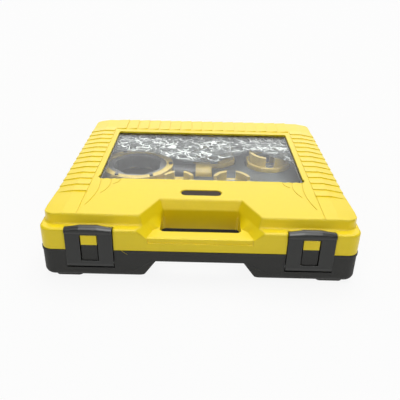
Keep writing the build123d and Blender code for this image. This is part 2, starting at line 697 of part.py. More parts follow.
def head_body(x, distance, pipe, crown):
    """Die head casting: guide sleeve, octagonal drive and a crown of four lugs."""
    octagon = Pos(x, back(distance), DRIVE_FOOT_Z) * RegularPolygon(HEAD_CORNER_R, 8, rotation=22.5)
    body = extrude(octagon, DRIVE_TOP_Z - DRIVE_FOOT_Z)
    body = chamfer(body.edges().filter_by(Plane.XY), 1.0)
    body += tube(x, distance, HEAD_Z, DRIVE_FOOT_Z + 1, SLEEVE_R)
    body += tube(x, distance, DRIVE_TOP_Z - 1, HEAD_TOP_Z, crown)
    body -= tube(x, distance, DRIVE_TOP_Z, HEAD_TOP_Z + 1, crown - LUG_THICKNESS)
    body -= tube(x, distance, HEAD_Z - 1, HEAD_TOP_Z + 1, pipe / 2 + 0.5)
    body -= tube(x, distance, HEAD_Z - 1, DRIVE_FOOT_Z, SLEEVE_R - 4)
    place = Pos(x, back(distance), (HEAD_TOP_Z + DRIVE_TOP_Z + 2) / 2)
    gap = Box(2 * crown + 10, LUG_GAP, HEAD_TOP_Z - DRIVE_TOP_Z + 2)
    slot_place = Pos(x, back(distance), (DRIVE_TOP_Z + CHASER_FOOT_Z) / 2 + 1)
    slot = Box(2 * crown, CHASER_WIDTH + 0.6, DRIVE_TOP_Z - CHASER_FOOT_Z + 2)
    for turn in (0, 90):
        body -= place * Rot(0, 0, turn) * gap
        body -= slot_place * Rot(0, 0, turn) * slot
    for hole_x, hole_distance, _ in screw_places(x, distance, pipe, crown):
        body -= tube(hole_x, hole_distance, DRIVE_TOP_Z - 8, DRIVE_TOP_Z + 1, 1.2)
    return body


def head_chasers(x, distance, pipe, crown):
    """Four thread chasers, each with a pointed, toothed inner end."""
    inner = pipe / 2 - 0.9
    outer = crown - 1.2
    foot_z = CHASER_FOOT_Z + 0.05
    height = DRIVE_TOP_Z - 0.2 - foot_z
    half = min(CHASER_WIDTH / 2, inner * 0.8)
    outline = Polyline(
        (inner, -half * 0.45), (inner + 4, -half), (outer, -half), (outer, half), (inner + 4, half),
        (inner, half * 0.45), close=True,
    )
    blank = extrude(make_face(outline), height)
    for step in range(4):
        groove = Polyline(
            (inner - 0.5, 0, 1.0 + 2.3 * step), (inner + 1.1, 0, 1.9 + 2.3 * step),
            (inner - 0.5, 0, 2.8 + 2.3 * step), close=True,
        )
        blank -= extrude(make_face(groove), CHASER_WIDTH, both=True)
    chasers = []
    for angle in (0, 90, 180, 270):
        chasers.append(Pos(x, back(distance), foot_z) * Rot(0, 0, angle) * blank)
    return Compound(children=chasers)


def head_cover(x, distance, pipe, crown):
    """Cover plate between the lugs, over the chasers."""
    foot_z = DRIVE_TOP_Z
    top_z = foot_z + COVER_THICKNESS
    cover = tube(x, distance, foot_z, top_z, crown - LUG_THICKNESS - 0.2, pipe / 2 + 2)
    for hole_x, hole_distance, _ in screw_places(x, distance, pipe, crown):
        cover -= tube(hole_x, hole_distance, foot_z - 1, top_z + 1, 1.5)
        cover -= tube(hole_x, hole_distance, top_z - 1.4, top_z + 1, SCREW_HEAD_R + 0.1)
    return cover


def head_screws(x, distance, pipe, crown):
    """Four slotted screws that hold the cover."""
    top_z = DRIVE_TOP_Z + COVER_THICKNESS
    screws = []
    for screw_x, screw_distance, angle in screw_places(x, distance, pipe, crown):
        screw = tube(screw_x, screw_distance, top_z - 1.4, top_z - 0.1, SCREW_HEAD_R)
        screw += tube(screw_x, screw_distance, DRIVE_TOP_Z - 7, top_z - 1.3, 1.2)
        place = Pos(screw_x, back(screw_distance), top_z - 0.2) * Rot(0, 0, angle + 20)
        screws.append(screw - place * Box(8, 0.8, 1.2))
    return Compound(children=screws)


def ring_places(count, radius):
    """Places on a circle round the ratchet, as (x, distance behind the front face)."""
    places = []
    for index in range(count):
        angle = math.radians(360 / count * index)
        places.append((RATCHET_X + radius * math.cos(angle), RATCHET_DEPTH + radius * math.sin(angle)))
    return places


def ratchet_housing():
    """Ring of the ratchet with its pawl boss."""
    top_z = RATCHET_FOOT_Z + RATCHET_HEIGHT
    housing = tube(RATCHET_X, RATCHET_DEPTH, RATCHET_FOOT_Z, top_z, RATCHET_R)
    boss_end = RATCHET_DEPTH + BOSS_REACH
    boss = block(RATCHET_X - 12, RATCHET_X + 12, RATCHET_DEPTH + 50, boss_end, RATCHET_FOOT_Z + 2, top_z - 1)
    housing += fillet(boss.edges().filter_by(Axis.Y), 4)
    housing -= tube(RATCHET_X, RATCHET_DEPTH, RATCHET_FOOT_Z + RATCHET_LIP, top_z + 1, RATCHET_BORE_R)
    housing -= tube(RATCHET_X, RATCHET_DEPTH, RATCHET_FOOT_Z - 1, top_z + 1, RATCHET_LIP_R)
    housing -= rod_y(RATCHET_X, RATCHET_DEPTH + 47, boss_end - 4, RATCHET_MID_Z, PAWL_BORE_R)
    housing -= rod_y(RATCHET_X, RATCHET_DEPTH + 47, boss_end + 2, RATCHET_MID_Z, PAWL_STEM_R + 0.35)
    for x, distance in ring_places(6, (RATCHET_R + RATCHET_BORE_R) / 2):
        housing -= tube(x, distance, top_z - 8, top_z + 1, 1.5)
    return housing


def ratchet_socket_tube():
    """Dark arm that joins the ring to the collar of the handle socket."""
    arm = rod_x(RATCHET_X + 50, SOCKET_COLLAR_X, RATCHET_DEPTH, RATCHET_MID_Z, SOCKET_ARM_R)
    arm -= tube(RATCHET_X, RATCHET_DEPTH, 0, TOP_Z, RATCHET_R + 0.1)
    return arm - rod_x(SOCKET_END_X - 45, SOCKET_END_X, RATCHET_DEPTH, RATCHET_MID_Z, SOCKET_BORE_R)


def ratchet_socket_collar():
    """Collar at the end of the arm, which takes the handle's spigot."""
    collar = rod_x(SOCKET_COLLAR_X, SOCKET_END_X, RATCHET_DEPTH, RATCHET_MID_Z, SOCKET_R)
    collar = chamfer(collar.edges().filter_by(GeomType.CIRCLE), 1.0)
    bore_start = SOCKET_COLLAR_X - 1
    return collar - rod_x(bore_start, SOCKET_END_X + 1, RATCHET_DEPTH, RATCHET_MID_Z, SOCKET_BORE_R)


def drive_ring():
    """Toothed ring that turns in the housing and takes the octagon of a die head."""
    foot_z = RATCHET_FOOT_Z + RATCHET_LIP + 0.3
    top_z = RATCHET_FOOT_Z + RATCHET_HEIGHT - 0.3
    step = 2 * math.pi / TOOTH_COUNT
    tooth = ((0.0, TOOTH_ROOT_R), (0.25, TOOTH_TIP_R), (0.6, TOOTH_TIP_R), (0.85, TOOTH_ROOT_R))
    points = []
    for index in range(TOOTH_COUNT):
        for share, radius in tooth:
            angle = step * (index + share)
            points.append((RATCHET_X + radius * math.cos(angle), RATCHET_DEPTH + radius * math.sin(angle)))
    ring = extrude(plan_face(points, foot_z), top_z - foot_z)
    hole = RegularPolygon(HEAD_CORNER_R + DRIVE_CLEARANCE, 8, rotation=22.5)
    ring -= extrude(Pos(RATCHET_X, back(RATCHET_DEPTH), foot_z - 1) * hole, top_z - foot_z + 2)
    return ring


def ratchet_cover():
    """Ring plate over the drive ring."""
    foot_z = RATCHET_FOOT_Z + RATCHET_HEIGHT
    cover = tube(RATCHET_X, RATCHET_DEPTH, foot_z, foot_z + 2.5, RATCHET_R, RATCHET_COVER_INNER_R)
    for x, distance in ring_places(6, (RATCHET_R + RATCHET_BORE_R) / 2):
        cover -= tube(x, distance, foot_z - 1, foot_z + 4, 1.7)
    return cover


def ratchet_screws():
    """Six socket screws of the ratchet cover."""
    seat_z = RATCHET_FOOT_Z + RATCHET_HEIGHT + 2.5
    screws = []
    for x, distance in ring_places(6, (RATCHET_R + RATCHET_BORE_R) / 2):
        screw = tube(x, distance, seat_z, seat_z + 2.6, 3.0) + tube(x, distance, seat_z - 9, seat_z, 1.5)
        socket = Pos(x, back(distance), seat_z + 1.2) * RegularPolygon(1.5, 6)
        screws.append(screw - extrude(socket, 2))
    return Compound(children=screws)


def ratchet_pawl():
    """Pawl with its stem, drawn clear of the teeth."""
    base = RATCHET_DEPTH
    body = rod_y(RATCHET_X, base + PAWL_TIP, base + 60, RATCHET_MID_Z, PAWL_R)
    cut = block(RATCHET_X + 0.6, RATCHET_X + 8, base + PAWL_TIP - 1, base + PAWL_TIP + 3.4, 0, TOP_Z)
    stem = rod_y(RATCHET_X, base + 59, base + BOSS_REACH + 3, RATCHET_MID_Z, PAWL_STEM_R)
    return body - cut + stem


def pawl_spring():
    """Compression spring round the pawl's stem, at the length it has with the knob pulled."""
    wire_r = 0.45
    coil_r = 4.3
    pitch = 1.4
    height = 7.0
    path = Helix(pitch=pitch, height=height, radius=coil_r)
    section = Plane(origin=path @ 0, z_dir=path % 0) * Circle(wire_r)
    spring = sweep(section, path=path)
    print("pawl_spring least gap between turns", round(pitch - 2 * wire_r, 2))
    seat = back(RATCHET_DEPTH + BOSS_REACH - 4 - wire_r - 0.05)
    return Pos(RATCHET_X, seat, RATCHET_MID_Z) * Rot(90, 0, 0) * spring


def pawl_knob():
    """Knurled pull knob on the end of the stem."""
    start = RATCHET_DEPTH + BOSS_REACH + 0.4
    knob = rod_y(RATCHET_X, start, start + 10.5, RATCHET_MID_Z, KNOB_R)
    knob = chamfer(knob.edges().filter_by(GeomType.CIRCLE), 1.0)
    for index in range(20):
        angle = math.radians(18 * index)
        dx = KNOB_R * math.cos(angle)
        dz = KNOB_R * math.sin(angle)
        knob -= rod_y(RATCHET_X + dx, start - 1, start + 12, RATCHET_MID_Z + dz, 0.6)
    return knob - rod_y(RATCHET_X, start - 1, RATCHET_DEPTH + BOSS_REACH + 3, RATCHET_MID_Z, PAWL_STEM_R)


def handle_tube(distance):
    """Half of the ratchet's handle, with a turned spigot at its left end."""
    half = HANDLE_LENGTH / 2
    outer = rod_x(-half + 24, half, distance, HANDLE_Z, HANDLE_R)
    outer = chamfer(outer.edges().filter_by(GeomType.CIRCLE), 0.8)
    outer += rod_x(-half, -half + 25, distance, HANDLE_Z, SOCKET_BORE_R - 0.4)
    return outer - rod_x(-half + 40, half + 1, distance, HANDLE_Z, HANDLE_R - 3)


def handle_lower():
    """Inner handle half, which ends at the coupler."""
    half = HANDLE_LENGTH / 2
    end = rod_x(half - COUPLER_LENGTH, half + 1, LOWER_HANDLE_DEPTH, HANDLE_Z, HANDLE_R + 1)
    return handle_tube(LOWER_HANDLE_DEPTH) - end


def handle_coupler():
    """Sleeve at the end of the inner handle half, which takes the spigot of the outer one."""
    half = HANDLE_LENGTH / 2
    start = half - COUPLER_LENGTH
    sleeve = rod_x(start, half, LOWER_HANDLE_DEPTH, HANDLE_Z, HANDLE_R)
    sleeve = chamfer(sleeve.edges().filter_by(GeomType.CIRCLE), 0.8)
    return sleeve - rod_x(start - 1, half + 1, LOWER_HANDLE_DEPTH, HANDLE_Z, SOCKET_BORE_R)


def handle_upper():
    """Outer handle half, necked for its grip."""
    half = HANDLE_LENGTH / 2
    neck = rod_x(half - 120, half + 1, UPPER_HANDLE_DEPTH, HANDLE_Z, HANDLE_R + 2)
    neck -= rod_x(half - 121, half + 2, UPPER_HANDLE_DEPTH, HANDLE_Z, HANDLE_R - 1.5)
    return handle_tube(UPPER_HANDLE_DEPTH) - neck


def handle_grip():
    """Rubber grip sleeve on the outer handle half."""
    half = HANDLE_LENGTH / 2
    grip = rod_x(half - 120, half + 1.5, UPPER_HANDLE_DEPTH, HANDLE_Z, HANDLE_R)
    for index in range(12):
        x = half - 110 + 9 * index
        band = rod_x(x, x + 2.5, UPPER_HANDLE_DEPTH, HANDLE_Z, HANDLE_R + 1)
        grip -= band - rod_x(x - 1, x + 4, UPPER_HANDLE_DEPTH, HANDLE_Z, HANDLE_R - 0.5)
    return grip - rod_x(half - 121, half + 1, UPPER_HANDLE_DEPTH, HANDLE_Z, HANDLE_R - 1.5)


def protective_film():
    """Clear film laid over the tools, as a flat sheet of its crumpled height."""
    return block(-148, 152, 150, 372, FILM_Z, FILM_Z + FILM_THICKNESS)


def write(name, shape):
    """One STEP file for one node."""
    export_step(shape, "parts/" + name + ".step")


def main():
    os.makedirs("parts", exist_ok=True)
    write("lid_shell", lid_shell())
    write("window_pane", window_pane())
    write("window_retainer", window_retainer())
    write("window_screws", window_screws())
    write("badge_plate", badge_plate())
    write("base_shell", base_shell())
    write("latch_right", latch())
    write("latch_left", mirror(latch(), Plane.YZ))
    write("latch_pins", latch_pins())
    write("hinge_pins", hinge_pins())
    write("tool_tray", tool_tray())
    write("tray_walls", tray_walls())
    write("tray_supports", tray_supports())
    write("floor_mat", floor_mat())
    write("protective_film", protective_film())
    for name, *place in HEADS:
        write("die_head_" + name + "_body", head_body(*place))
        write("die_head_" + name + "_chasers", head_chasers(*place))
        write("die_head_" + name + "_cover", head_cover(*place))
        write("die_head_" + name + "_screws", head_screws(*place))
    write("ratchet_housing", ratchet_housing())
    write("ratchet_socket_tube", ratchet_socket_tube())
    write("ratchet_socket_collar", ratchet_socket_collar())
    write("ratchet_drive_ring", drive_ring())
    write("ratchet_cover", ratchet_cover())
    write("ratchet_screws", ratchet_screws())
    write("ratchet_pawl", ratchet_pawl())
    write("pawl_spring", pawl_spring())
    write("pawl_knob", pawl_knob())
    write("handle_lower", handle_lower())
    write("handle_coupler", handle_coupler())
    write("handle_upper", handle_upper())
    write("handle_grip", handle_grip())


main()
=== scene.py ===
"""Looks of a pipe threading die set in its carry case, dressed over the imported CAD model."""

from __future__ import annotations

import json
import logging
import math
from dataclasses import dataclass
from enum import Enum
from typing import Any, ClassVar

import bmesh
import bpy
from mathutils import Matrix, Vector, noise

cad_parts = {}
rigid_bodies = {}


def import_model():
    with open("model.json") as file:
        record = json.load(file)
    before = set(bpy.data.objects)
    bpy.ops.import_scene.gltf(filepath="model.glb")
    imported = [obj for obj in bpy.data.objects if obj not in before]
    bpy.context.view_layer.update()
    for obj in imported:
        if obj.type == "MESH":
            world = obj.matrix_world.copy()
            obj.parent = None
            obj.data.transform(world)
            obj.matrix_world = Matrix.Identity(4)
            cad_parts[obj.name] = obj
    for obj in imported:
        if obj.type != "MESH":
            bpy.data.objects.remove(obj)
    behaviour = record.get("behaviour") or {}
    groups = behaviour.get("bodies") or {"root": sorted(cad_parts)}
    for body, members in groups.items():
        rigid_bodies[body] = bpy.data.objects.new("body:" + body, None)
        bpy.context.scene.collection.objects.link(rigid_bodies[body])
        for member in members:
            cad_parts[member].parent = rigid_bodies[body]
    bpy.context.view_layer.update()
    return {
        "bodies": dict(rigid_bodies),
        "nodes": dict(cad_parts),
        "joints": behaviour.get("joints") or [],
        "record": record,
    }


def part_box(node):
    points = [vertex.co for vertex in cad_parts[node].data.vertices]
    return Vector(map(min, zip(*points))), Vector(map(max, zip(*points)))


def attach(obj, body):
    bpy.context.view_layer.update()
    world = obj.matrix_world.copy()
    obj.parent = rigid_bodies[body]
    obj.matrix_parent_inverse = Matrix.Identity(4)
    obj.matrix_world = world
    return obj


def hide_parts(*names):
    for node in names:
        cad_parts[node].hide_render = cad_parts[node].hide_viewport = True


log = logging.getLogger("die_set")

Colour = tuple[float, float, float, float]
Point = tuple[float, float, float]
Span = tuple[float, float]
Socket = bpy.types.NodeSocket
Pieces = list[bpy.types.Object]
MM = 0.001
FRONT = -0.1965  # where the case's front face stands along Y, in metres
HEAD_SIZES = ("dn8", "dn10", "dn15", "dn20", "dn25", "dn32")
# The second mesh attribute places the film's painted shade veil. The crease attribute also places
# its painted highlight.
CREASE, SHADE_VEIL = "crease", "veil"  # mesh attributes: 1 on a crease, and 1 where film is crumpled
WHITE: Colour = (1.0, 1.0, 1.0, 1.0)
SEEING_RAYS = ("Is Camera Ray", "Is Glossy Ray", "Is Transmission Ray")
PLASTIC_IOR = 1.5
BEVEL_SAMPLES = 6
EDGE_BEND = (0.01, 0.22)  # how far a normal bends where an edge starts and where it is full
EDGE_REACH = 1.6  # how far a plastic edge's wear goes, in radii of the edge
SPECK_SCALE = 0.6  # specks of colour to a lump of the mould's grain
CLOUD_SHARE, SPECK_SHARE = 0.6, 0.4
PLASTIC_SCRATCHES = (900.0, 0.04)  # side by side in a metre, and the share that they cover
PANE_SCRATCHES = (1300.0, 0.03)
SCRATCH_TURNS = (23.0, 104.0)
SCRATCH_STRETCH = (1.0, 0.03, 0.4)
SCRATCH_START, SCRATCH_FULL = 0.78, 0.80


def screen_colour(red: float, green: float, blue: float) -> Colour:
    """Turn a colour as a screen shows it into the linear numbers that a shader takes.

    Args:
        red: red part, 0 to 255.
        green: green part, 0 to 255.
        blue: blue part, 0 to 255.

    Returns:
        The linear colour with an opaque alpha.
    """
    knee, slope, offset, power = 0.04045, 12.92, 0.055, 2.4
    shares = [part / 255 for part in (red, green, blue)]
    linear = [s / slope if s <= knee else ((s + offset) / (1 + offset)) ** power for s in shares]
    return (linear[0], linear[1], linear[2], 1.0)


def darkened(colour: Colour, keep: float) -> Colour:
    """A colour that keeps only this share of its light."""
    return (colour[0] * keep, colour[1] * keep, colour[2] * keep, 1.0)


def lifted(colour: Colour, grey: float, share: float) -> Colour:
    """A colour that goes this share of the way to a grey."""
    red, green, blue = (part + (grey - part) * share for part in colour[:3])
    return (red, green, blue, 1.0)


def between(value: float, low: float, high: float) -> float:
    """Rise smoothly from 0 at low to 1 at high."""
    share = min(1.0, max(0.0, (value - low) / (high - low)))
    return share * share * (3 - 2 * share)


def bell(value: float) -> float:
    """A bell curve that is 1 at 0 and falls away on both sides."""
    return math.exp(-(value**2))


class Layer(Enum):
    """Layers of noise: how many lumps to a metre, and how many finer layers lie on top."""

    CLOUD = (16.0, 4.0)
    WAVES = (45.0, 1.0)
    RUB = (190.0, 3.0)
    PITS = (480.0, 2.0)
    PEEL = (520.0, 2.0)
    CAST = (160.0, 4.0)
    CHIPS = (420.0, 4.0)
    STAIN = (70.0, 5.0)
    SMEAR = (22.0, 5.0)
    DUST = (260.0, 3.0)
    PATCH = (34.0, 3.0)
    GRIT = (1500.0, 3.0)
    TONE = (60.0, 3.0)
    NICKS = (300.0, 3.0)
    LINT = (85.0, 4.0)
    PAPER = (30.0, 2.0)


class Value:
    """A number that a shader works out, for use in Python expressions."""

    def __init__(self, sheet: NodeSheet, socket: Socket) -> None:
        """Keep the node sheet and the socket that carries the number."""
        self.sheet = sheet
        self.socket = socket

    def __add__(self, other: Value | float) -> Value:
        """Sum."""
        return self.sheet.math("ADD", self, other)

    def __radd__(self, other: float) -> Value:
        """Sum, with the plain number first."""
        return self.sheet.math("ADD", other, self)

    def __sub__(self, other: Value | float) -> Value:
        """Difference."""
        return self.sheet.math("SUBTRACT", self, other)

    def __rsub__(self, other: float) -> Value:
        """Difference, with the plain number first."""
        return self.sheet.math("SUBTRACT", other, self)

    def __mul__(self, other: Value | float) -> Value:
        """Product."""
        return self.sheet.math("MULTIPLY", self, other)

    def __truediv__(self, other: Value | float) -> Value:
        """Quotient."""
        return self.sheet.math("DIVIDE", self, other)

    def __abs__(self) -> Value:
        """Size without its sign."""
        return self.sheet.math("ABSOLUTE", self, 0.0)

    def rise(self, low: float, high: float) -> Value:
        """Go smoothly from 0 at low to 1 at high.

        Args:
            low: where the rise starts.
            high: where it is complete; below low for a fall.

        Returns:
            The share, from 0 to 1.
        """
        return self.sheet.value(
            "ShaderNodeMapRange",
            {"interpolation_type": "SMOOTHSTEP"},
            {"Value": self, "From Min": low, "From Max": high},
        )


class NodeSheet:
    """A node tree with one method that adds nodes, and short names for the usual ones."""

    def __init__(self, tree: bpy.types.NodeTree) -> None:
        """Empty the tree and keep it."""
        self.tree = tree
        tree.nodes.clear()

    def add(
        self,
        kind: str,
        settings: dict[str, Any] | None = None,
        sockets: dict[str | int, Any] | None = None,
    ) -> bpy.types.Node:
        """Add a node.

        Args:
            kind: the node's type name.
            settings: its properties; curve_points sets a curve's points.
            sockets: what goes into its inputs, as plain values, sockets or Values.

        Returns:
            The new node.
        """
        node = self.tree.nodes.new(kind)
        for name, value in (settings or {}).items():
            if name == "curve_points":
                self._set_curve(node.mapping, value)
            else:
                setattr(node, name, value)
        for key, value in (sockets or {}).items():
            self._feed(node.inputs[key], value)
        return node

    def _feed(self, socket: Socket, value: Any) -> None:
        """Link or set one input."""
        source = value.socket if isinstance(value, Value) else value
        if isinstance(source, Socket):
            self.tree.links.new(source, socket)
        else:
            socket.default_value = source

    @staticmethod
    def _set_curve(mapping: bpy.types.CurveMapping, points: list[Span]) -> None:
        """Give a curve node its points, first to last."""
        curve = mapping.curves[0]
        curve.points[0].location = points[0]
        curve.points[1].location = points[-1]
        for point in points[1:-1]:
            curve.points.new(*point)
        mapping.update()

    def value(self, kind: str, settings: dict[str, Any], sockets: dict[str | int, Any]) -> Value:
        """Add a node and return its first output as a Value."""
        return Value(self, self.add(kind, settings, sockets).outputs[0])

    def math(self, operation: str, first: Value | float, second: Value | float) -> Value:
        """Add a Math node."""
        return self.value("ShaderNodeMath", {"operation": operation}, {0: first, 1: second})

    def point(self) -> Socket:
        """The place on the object, in metres, in the shared frame."""
        return self.add("ShaderNodeTexCoord").outputs["Object"]

    def stretched(self, turn: float, scale: Point, centre: Point = (0, 0, 0)) -> Socket:
        """The place on the object, moved, turned about Z and stretched.

        Args:
            turn: turn about Z in degrees.
            scale: scale along the turned axes.
            centre: the point that becomes the origin, in metres.

        Returns:
            The vector socket.
        """
        centred = self.add(
            "ShaderNodeMapping", None, {"Vector": self.point(), "Location": [-c for c in centre]}
        )
        turned = self.add(
            "ShaderNodeMapping",
            None,
            {"Vector": centred.outputs[0], "Rotation": (0, 0, math.radians(turn)), "Scale": scale},
        )
        return turned.outputs[0]

    def split(self, vector: Socket) -> list[Value]:
        """The three parts of a vector."""
        node = self.add("ShaderNodeSeparateXYZ", None, {0: vector})
        return [Value(self, output) for output in node.outputs]

    def noise(self, vector: Socket, per_metre: float, detail: float = 2.0) -> Value:
        """Noise from 0 to 1.

        Args:
            vector: where it is read.
            per_metre: how many lumps to a metre.
            detail: finer layers on top.

        Returns:
            The noise value.
        """
        return self.value(
            "ShaderNodeTexNoise", {}, {"Vector": vector, "Scale": per_metre, "Detail": detail}
        )

    def attribute(self, name: str) -> Value:
        """A mesh attribute's number."""
        settings = {"attribute_type": "GEOMETRY", "attribute_name": name}
        return Value(self, self.add("ShaderNodeAttribute", settings).outputs["Fac"])

    def layer(self, layer: Layer) -> Value:
        """Noise from 0 to 1 of a named layer, read at the place on the object."""
        return self.noise(self.point(), *layer.value)

    def colour_mix(self, factor: Value | float, first: Any, second: Any) -> Socket:
        """Go from the first colour to the second by a factor."""
        node = self.add("ShaderNodeMix", {"data_type": "RGBA"}, {0: factor, 6: first, 7: second})
        return node.outputs[2]

    def shader_mix(self, factor: Any, first: Any, second: Any) -> Socket:
        """Go from the first shader to the second by a factor."""
        return self.add("ShaderNodeMixShader", None, {0: factor, 1: first, 2: second}).outputs[0]

    def rounded(self, radius: float) -> Socket:
        """The normal of the surface with its edges rounded by a radius in metres."""
        bevel = self.add("ShaderNodeBevel", {"samples": BEVEL_SAMPLES}, {"Radius": radius})
        return bevel.outputs["Normal"]

    def edges(self, radius: float) -> Value:
        """A mask that is 1 on sharp edges and fades over a radius in metres."""
        true_normal = self.add("ShaderNodeNewGeometry").outputs["Normal"]
        wide = self.rounded(radius)
        likeness = self.add(
            "ShaderNodeVectorMath", {"operation": "DOT_PRODUCT"}, {0: true_normal, 1: wide}
        )
        return (1.0 - Value(self, likeness.outputs["Value"])).rise(*EDGE_BEND)

    def scratches(self, per_metre: float, share: float) -> Value:
        """Fine straight scratches in two directions.

        Args:
            per_metre: how many would lie side by side in a metre.
            share: how much of the surface they cover, 0 to 1.

        Returns:
            The mask, 1 in a scratch.
        """
        mask: Value | float = 0.0
        for turn in SCRATCH_TURNS:
            line = self.noise(self.stretched(turn, SCRATCH_STRETCH), per_metre, 1.0)
            mask = line.rise(SCRATCH_START - share, SCRATCH_FULL - share * 0.5) + mask
        return mask

    def bump(self, height_mm: Value, normal: Socket) -> Socket:
        """Bend a normal by a relief whose height is in millimetres."""
        sockets = {"Strength": 1.0, "Distance": MM, "Height": height_mm, "Normal": normal}
        return self.add("ShaderNodeBump", None, sockets).outputs[0]

    def surface(self, sockets: dict[str, Any]) -> Socket:
        """Add the surface shader with these inputs."""
        return self.add("ShaderNodeBsdfPrincipled", None, sockets).outputs[0]


@dataclass(frozen=True)
class Finish:
    """What a piece is made of.

    Attributes:
        name: the material's name.
    """

    name: str

    def make(self) -> bpy.types.Material:
        """Make the material."""
        material = bpy.data.materials.new(self.name)
        material.use_nodes = True
        sheet = NodeSheet(material.node_tree)
        sheet.add("ShaderNodeOutputMaterial", None, {"Surface": self.shader(sheet)})
        return material

    def shader(self, sheet: NodeSheet) -> Socket:
        """Draw the material's shader.

        Args:
            sheet: the material's empty node sheet.

        Returns:
            The shader.
        """
        raise NotImplementedError


class Grain(Enum):
    """How a mould's face was left: lumps to a metre, and their height in millimetres."""

    POLISHED = (260.0, 0.010)
    SATIN = (1400.0, 0.020)
    SPARK = (1100.0, 0.075)


@dataclass(frozen=True)
class MouldedPlastic(Finish):
    """Injection moulded plastic with grain, slow colour drift and light wear.

    Attributes:
        colour: its colour.
        roughness: its roughness away from wear.
        grain: the mould's face.
        edge_round: radius of its edges in metres.
        drift: how far the colour drifts over centimetres.
        wear: how much its edges are paled.
        gloss: strength of its mirror reflection, 0.5 for common plastic.
        waves: height of its slow waves in millimetres.
        pale: how far a worn place goes to white.
        scuff: how much a scratch pales and roughens it.
        patchy: how far its roughness drifts over centimetres.
        rubbed: how much its worn edges are roughened.
    """

    colour: Colour
    roughness: float
    grain: Grain
    edge_round: float = 0.0006
    drift: float = 0.10
    wear: float = 0.3
    gloss: float = 0.5
    waves: float = 0.06
    pale: float = 0.22
    scuff: float = 0.12
    patchy: float = 0.12
    rubbed: float = 0.08

    def relief(self, sheet: NodeSheet) -> Value:
        """Height of the grain in millimetres."""
        per_metre, height = self.grain.value
        fine = sheet.noise(sheet.point(), per_metre, 3.0)
        return fine * height + sheet.layer(Layer.WAVES) * self.waves

    def normal(self, sheet: NodeSheet) -> Socket:
        """The surface's normal with rounded edges."""
        return sheet.rounded(self.edge_round)

    def shader(self, sheet: NodeSheet) -> Socket:
        """The plastic, with its edges rounded and paled."""
        cloud = sheet.layer(Layer.CLOUD)
        speck = sheet.noise(sheet.point(), self.grain.value[0] * SPECK_SCALE, 2.0)
        scratch = sheet.scratches(*PLASTIC_SCRATCHES)
        edge = sheet.edges(self.edge_round * EDGE_REACH) * sheet.layer(Layer.RUB).rise(0.3, 0.7)
        mottle = (cloud * CLOUD_SHARE + speck * SPECK_SHARE).rise(0.3, 0.75)
        body = sheet.colour_mix(mottle, darkened(self.colour, 1 - self.drift), self.colour)
        worn = edge * self.wear + scratch * self.scuff
        drift = (cloud - 0.5) * self.patchy
        return sheet.surface(
            {
                "Base Color": sheet.colour_mix(worn, body, lifted(self.colour, 1, self.pale)),
                "Roughness": self.roughness + drift + scratch * self.scuff + edge * self.rubbed,
                "Specular IOR Level": self.gloss,
                "IOR": PLASTIC_IOR,
                "Normal": sheet.bump(self.relief(sheet), self.normal(sheet)),
            }
        )


@dataclass(frozen=True)
class LidPlastic(MouldedPlastic):
    """The lid's plastic, whose edges are much softer along the front and round the hand recess.

    Each band below is where the softness starts and where it is complete, in metres.

    Attributes:
        soft_round: radius of those edges in metres.
        front_band: the band behind the case's front.
        recess_band: the recess's band behind the case's front.
        recess_half: the recess's band away from the case's middle.
        height_band: the band over the floor.
    """

    soft_round: float = 0.0042
    front_band: Span = (0.026, 0.021)
    recess_band: Span = (0.074, 0.068)
    recess_half: Span = (0.104, 0.098)
    height_band: Span = (0.063, 0.067)

    def normal(self, sheet: NodeSheet) -> Socket:
        """The surface's normal with rounded edges."""
        across, depth, up = sheet.split(sheet.point())
        front, recess = (
            depth.rise(*(FRONT + behind for behind in band))
            for band in (self.front_band, self.recess_band)
        )
        recess = recess * abs(across).rise(*self.recess_half)
        mask = sheet.math("MAXIMUM", front, recess) * up.rise(*self.height_band)
        mix = sheet.add(
            "ShaderNodeMix",
            {"data_type": "VECTOR"},
            {0: mask, 4: sheet.rounded(self.edge_round), 5: sheet.rounded(self.soft_round)},
        )
        return mix.outputs[1]


@dataclass(frozen=True)
class BaseShellPlastic(MouldedPlastic):
    """The base's plastic, with a raised bead that curves down beside the finger notch.

    Attributes:
        bead_start: how far from the middle the bead starts, in metres.
        bead_end: how far from the middle it ends.
        bead_heights: its height over the floor, start to end, in millimetres.
        bead_scale: the height that its curve is drawn to, in millimetres.
        bead_rise: how far it stands out, in millimetres.
        bead_side: how far from its line it starts and stands full, in millimetres.
        bead_depth: where its wall starts and ends, front to back, in metres.
        pit: depth of the mould's pits in millimetres.
    """

    bead_start: float = 0.0627
    bead_end: float = 0.0973
    bead_heights: tuple[float, ...] = (27.3, 21.4, 15.4, 11.0, 9.6)
    bead_scale: float = 30.0
    bead_rise: float = 0.45
    bead_side: Span = (1.6, 0.2)
    bead_depth: Span = (-0.176, -0.182)
    pit: float = 0.16

    def relief(self, sheet: NodeSheet) -> Value:
        """Height of the grain and the bead in millimetres."""
        across, depth, up = sheet.split(sheet.point())
        along = (abs(across) - self.bead_start) / (self.bead_end - self.bead_start)
        steps = len(self.bead_heights) - 1
        points = [(i / steps, top / self.bead_scale) for i, top in enumerate(self.bead_heights)]
        line = sheet.value("ShaderNodeFloatCurve", {"curve_points": points}, {"Value": along})
        off = abs(up * (1 / MM) - line * self.bead_scale)
        inside = along.rise(-0.04, 0.02) * along.rise(1.35, 1.1) * depth.rise(*self.bead_depth)
        bead = off.rise(*self.bead_side) * inside * self.bead_rise
        return super().relief(sheet) + sheet.layer(Layer.PITS) * self.pit + bead


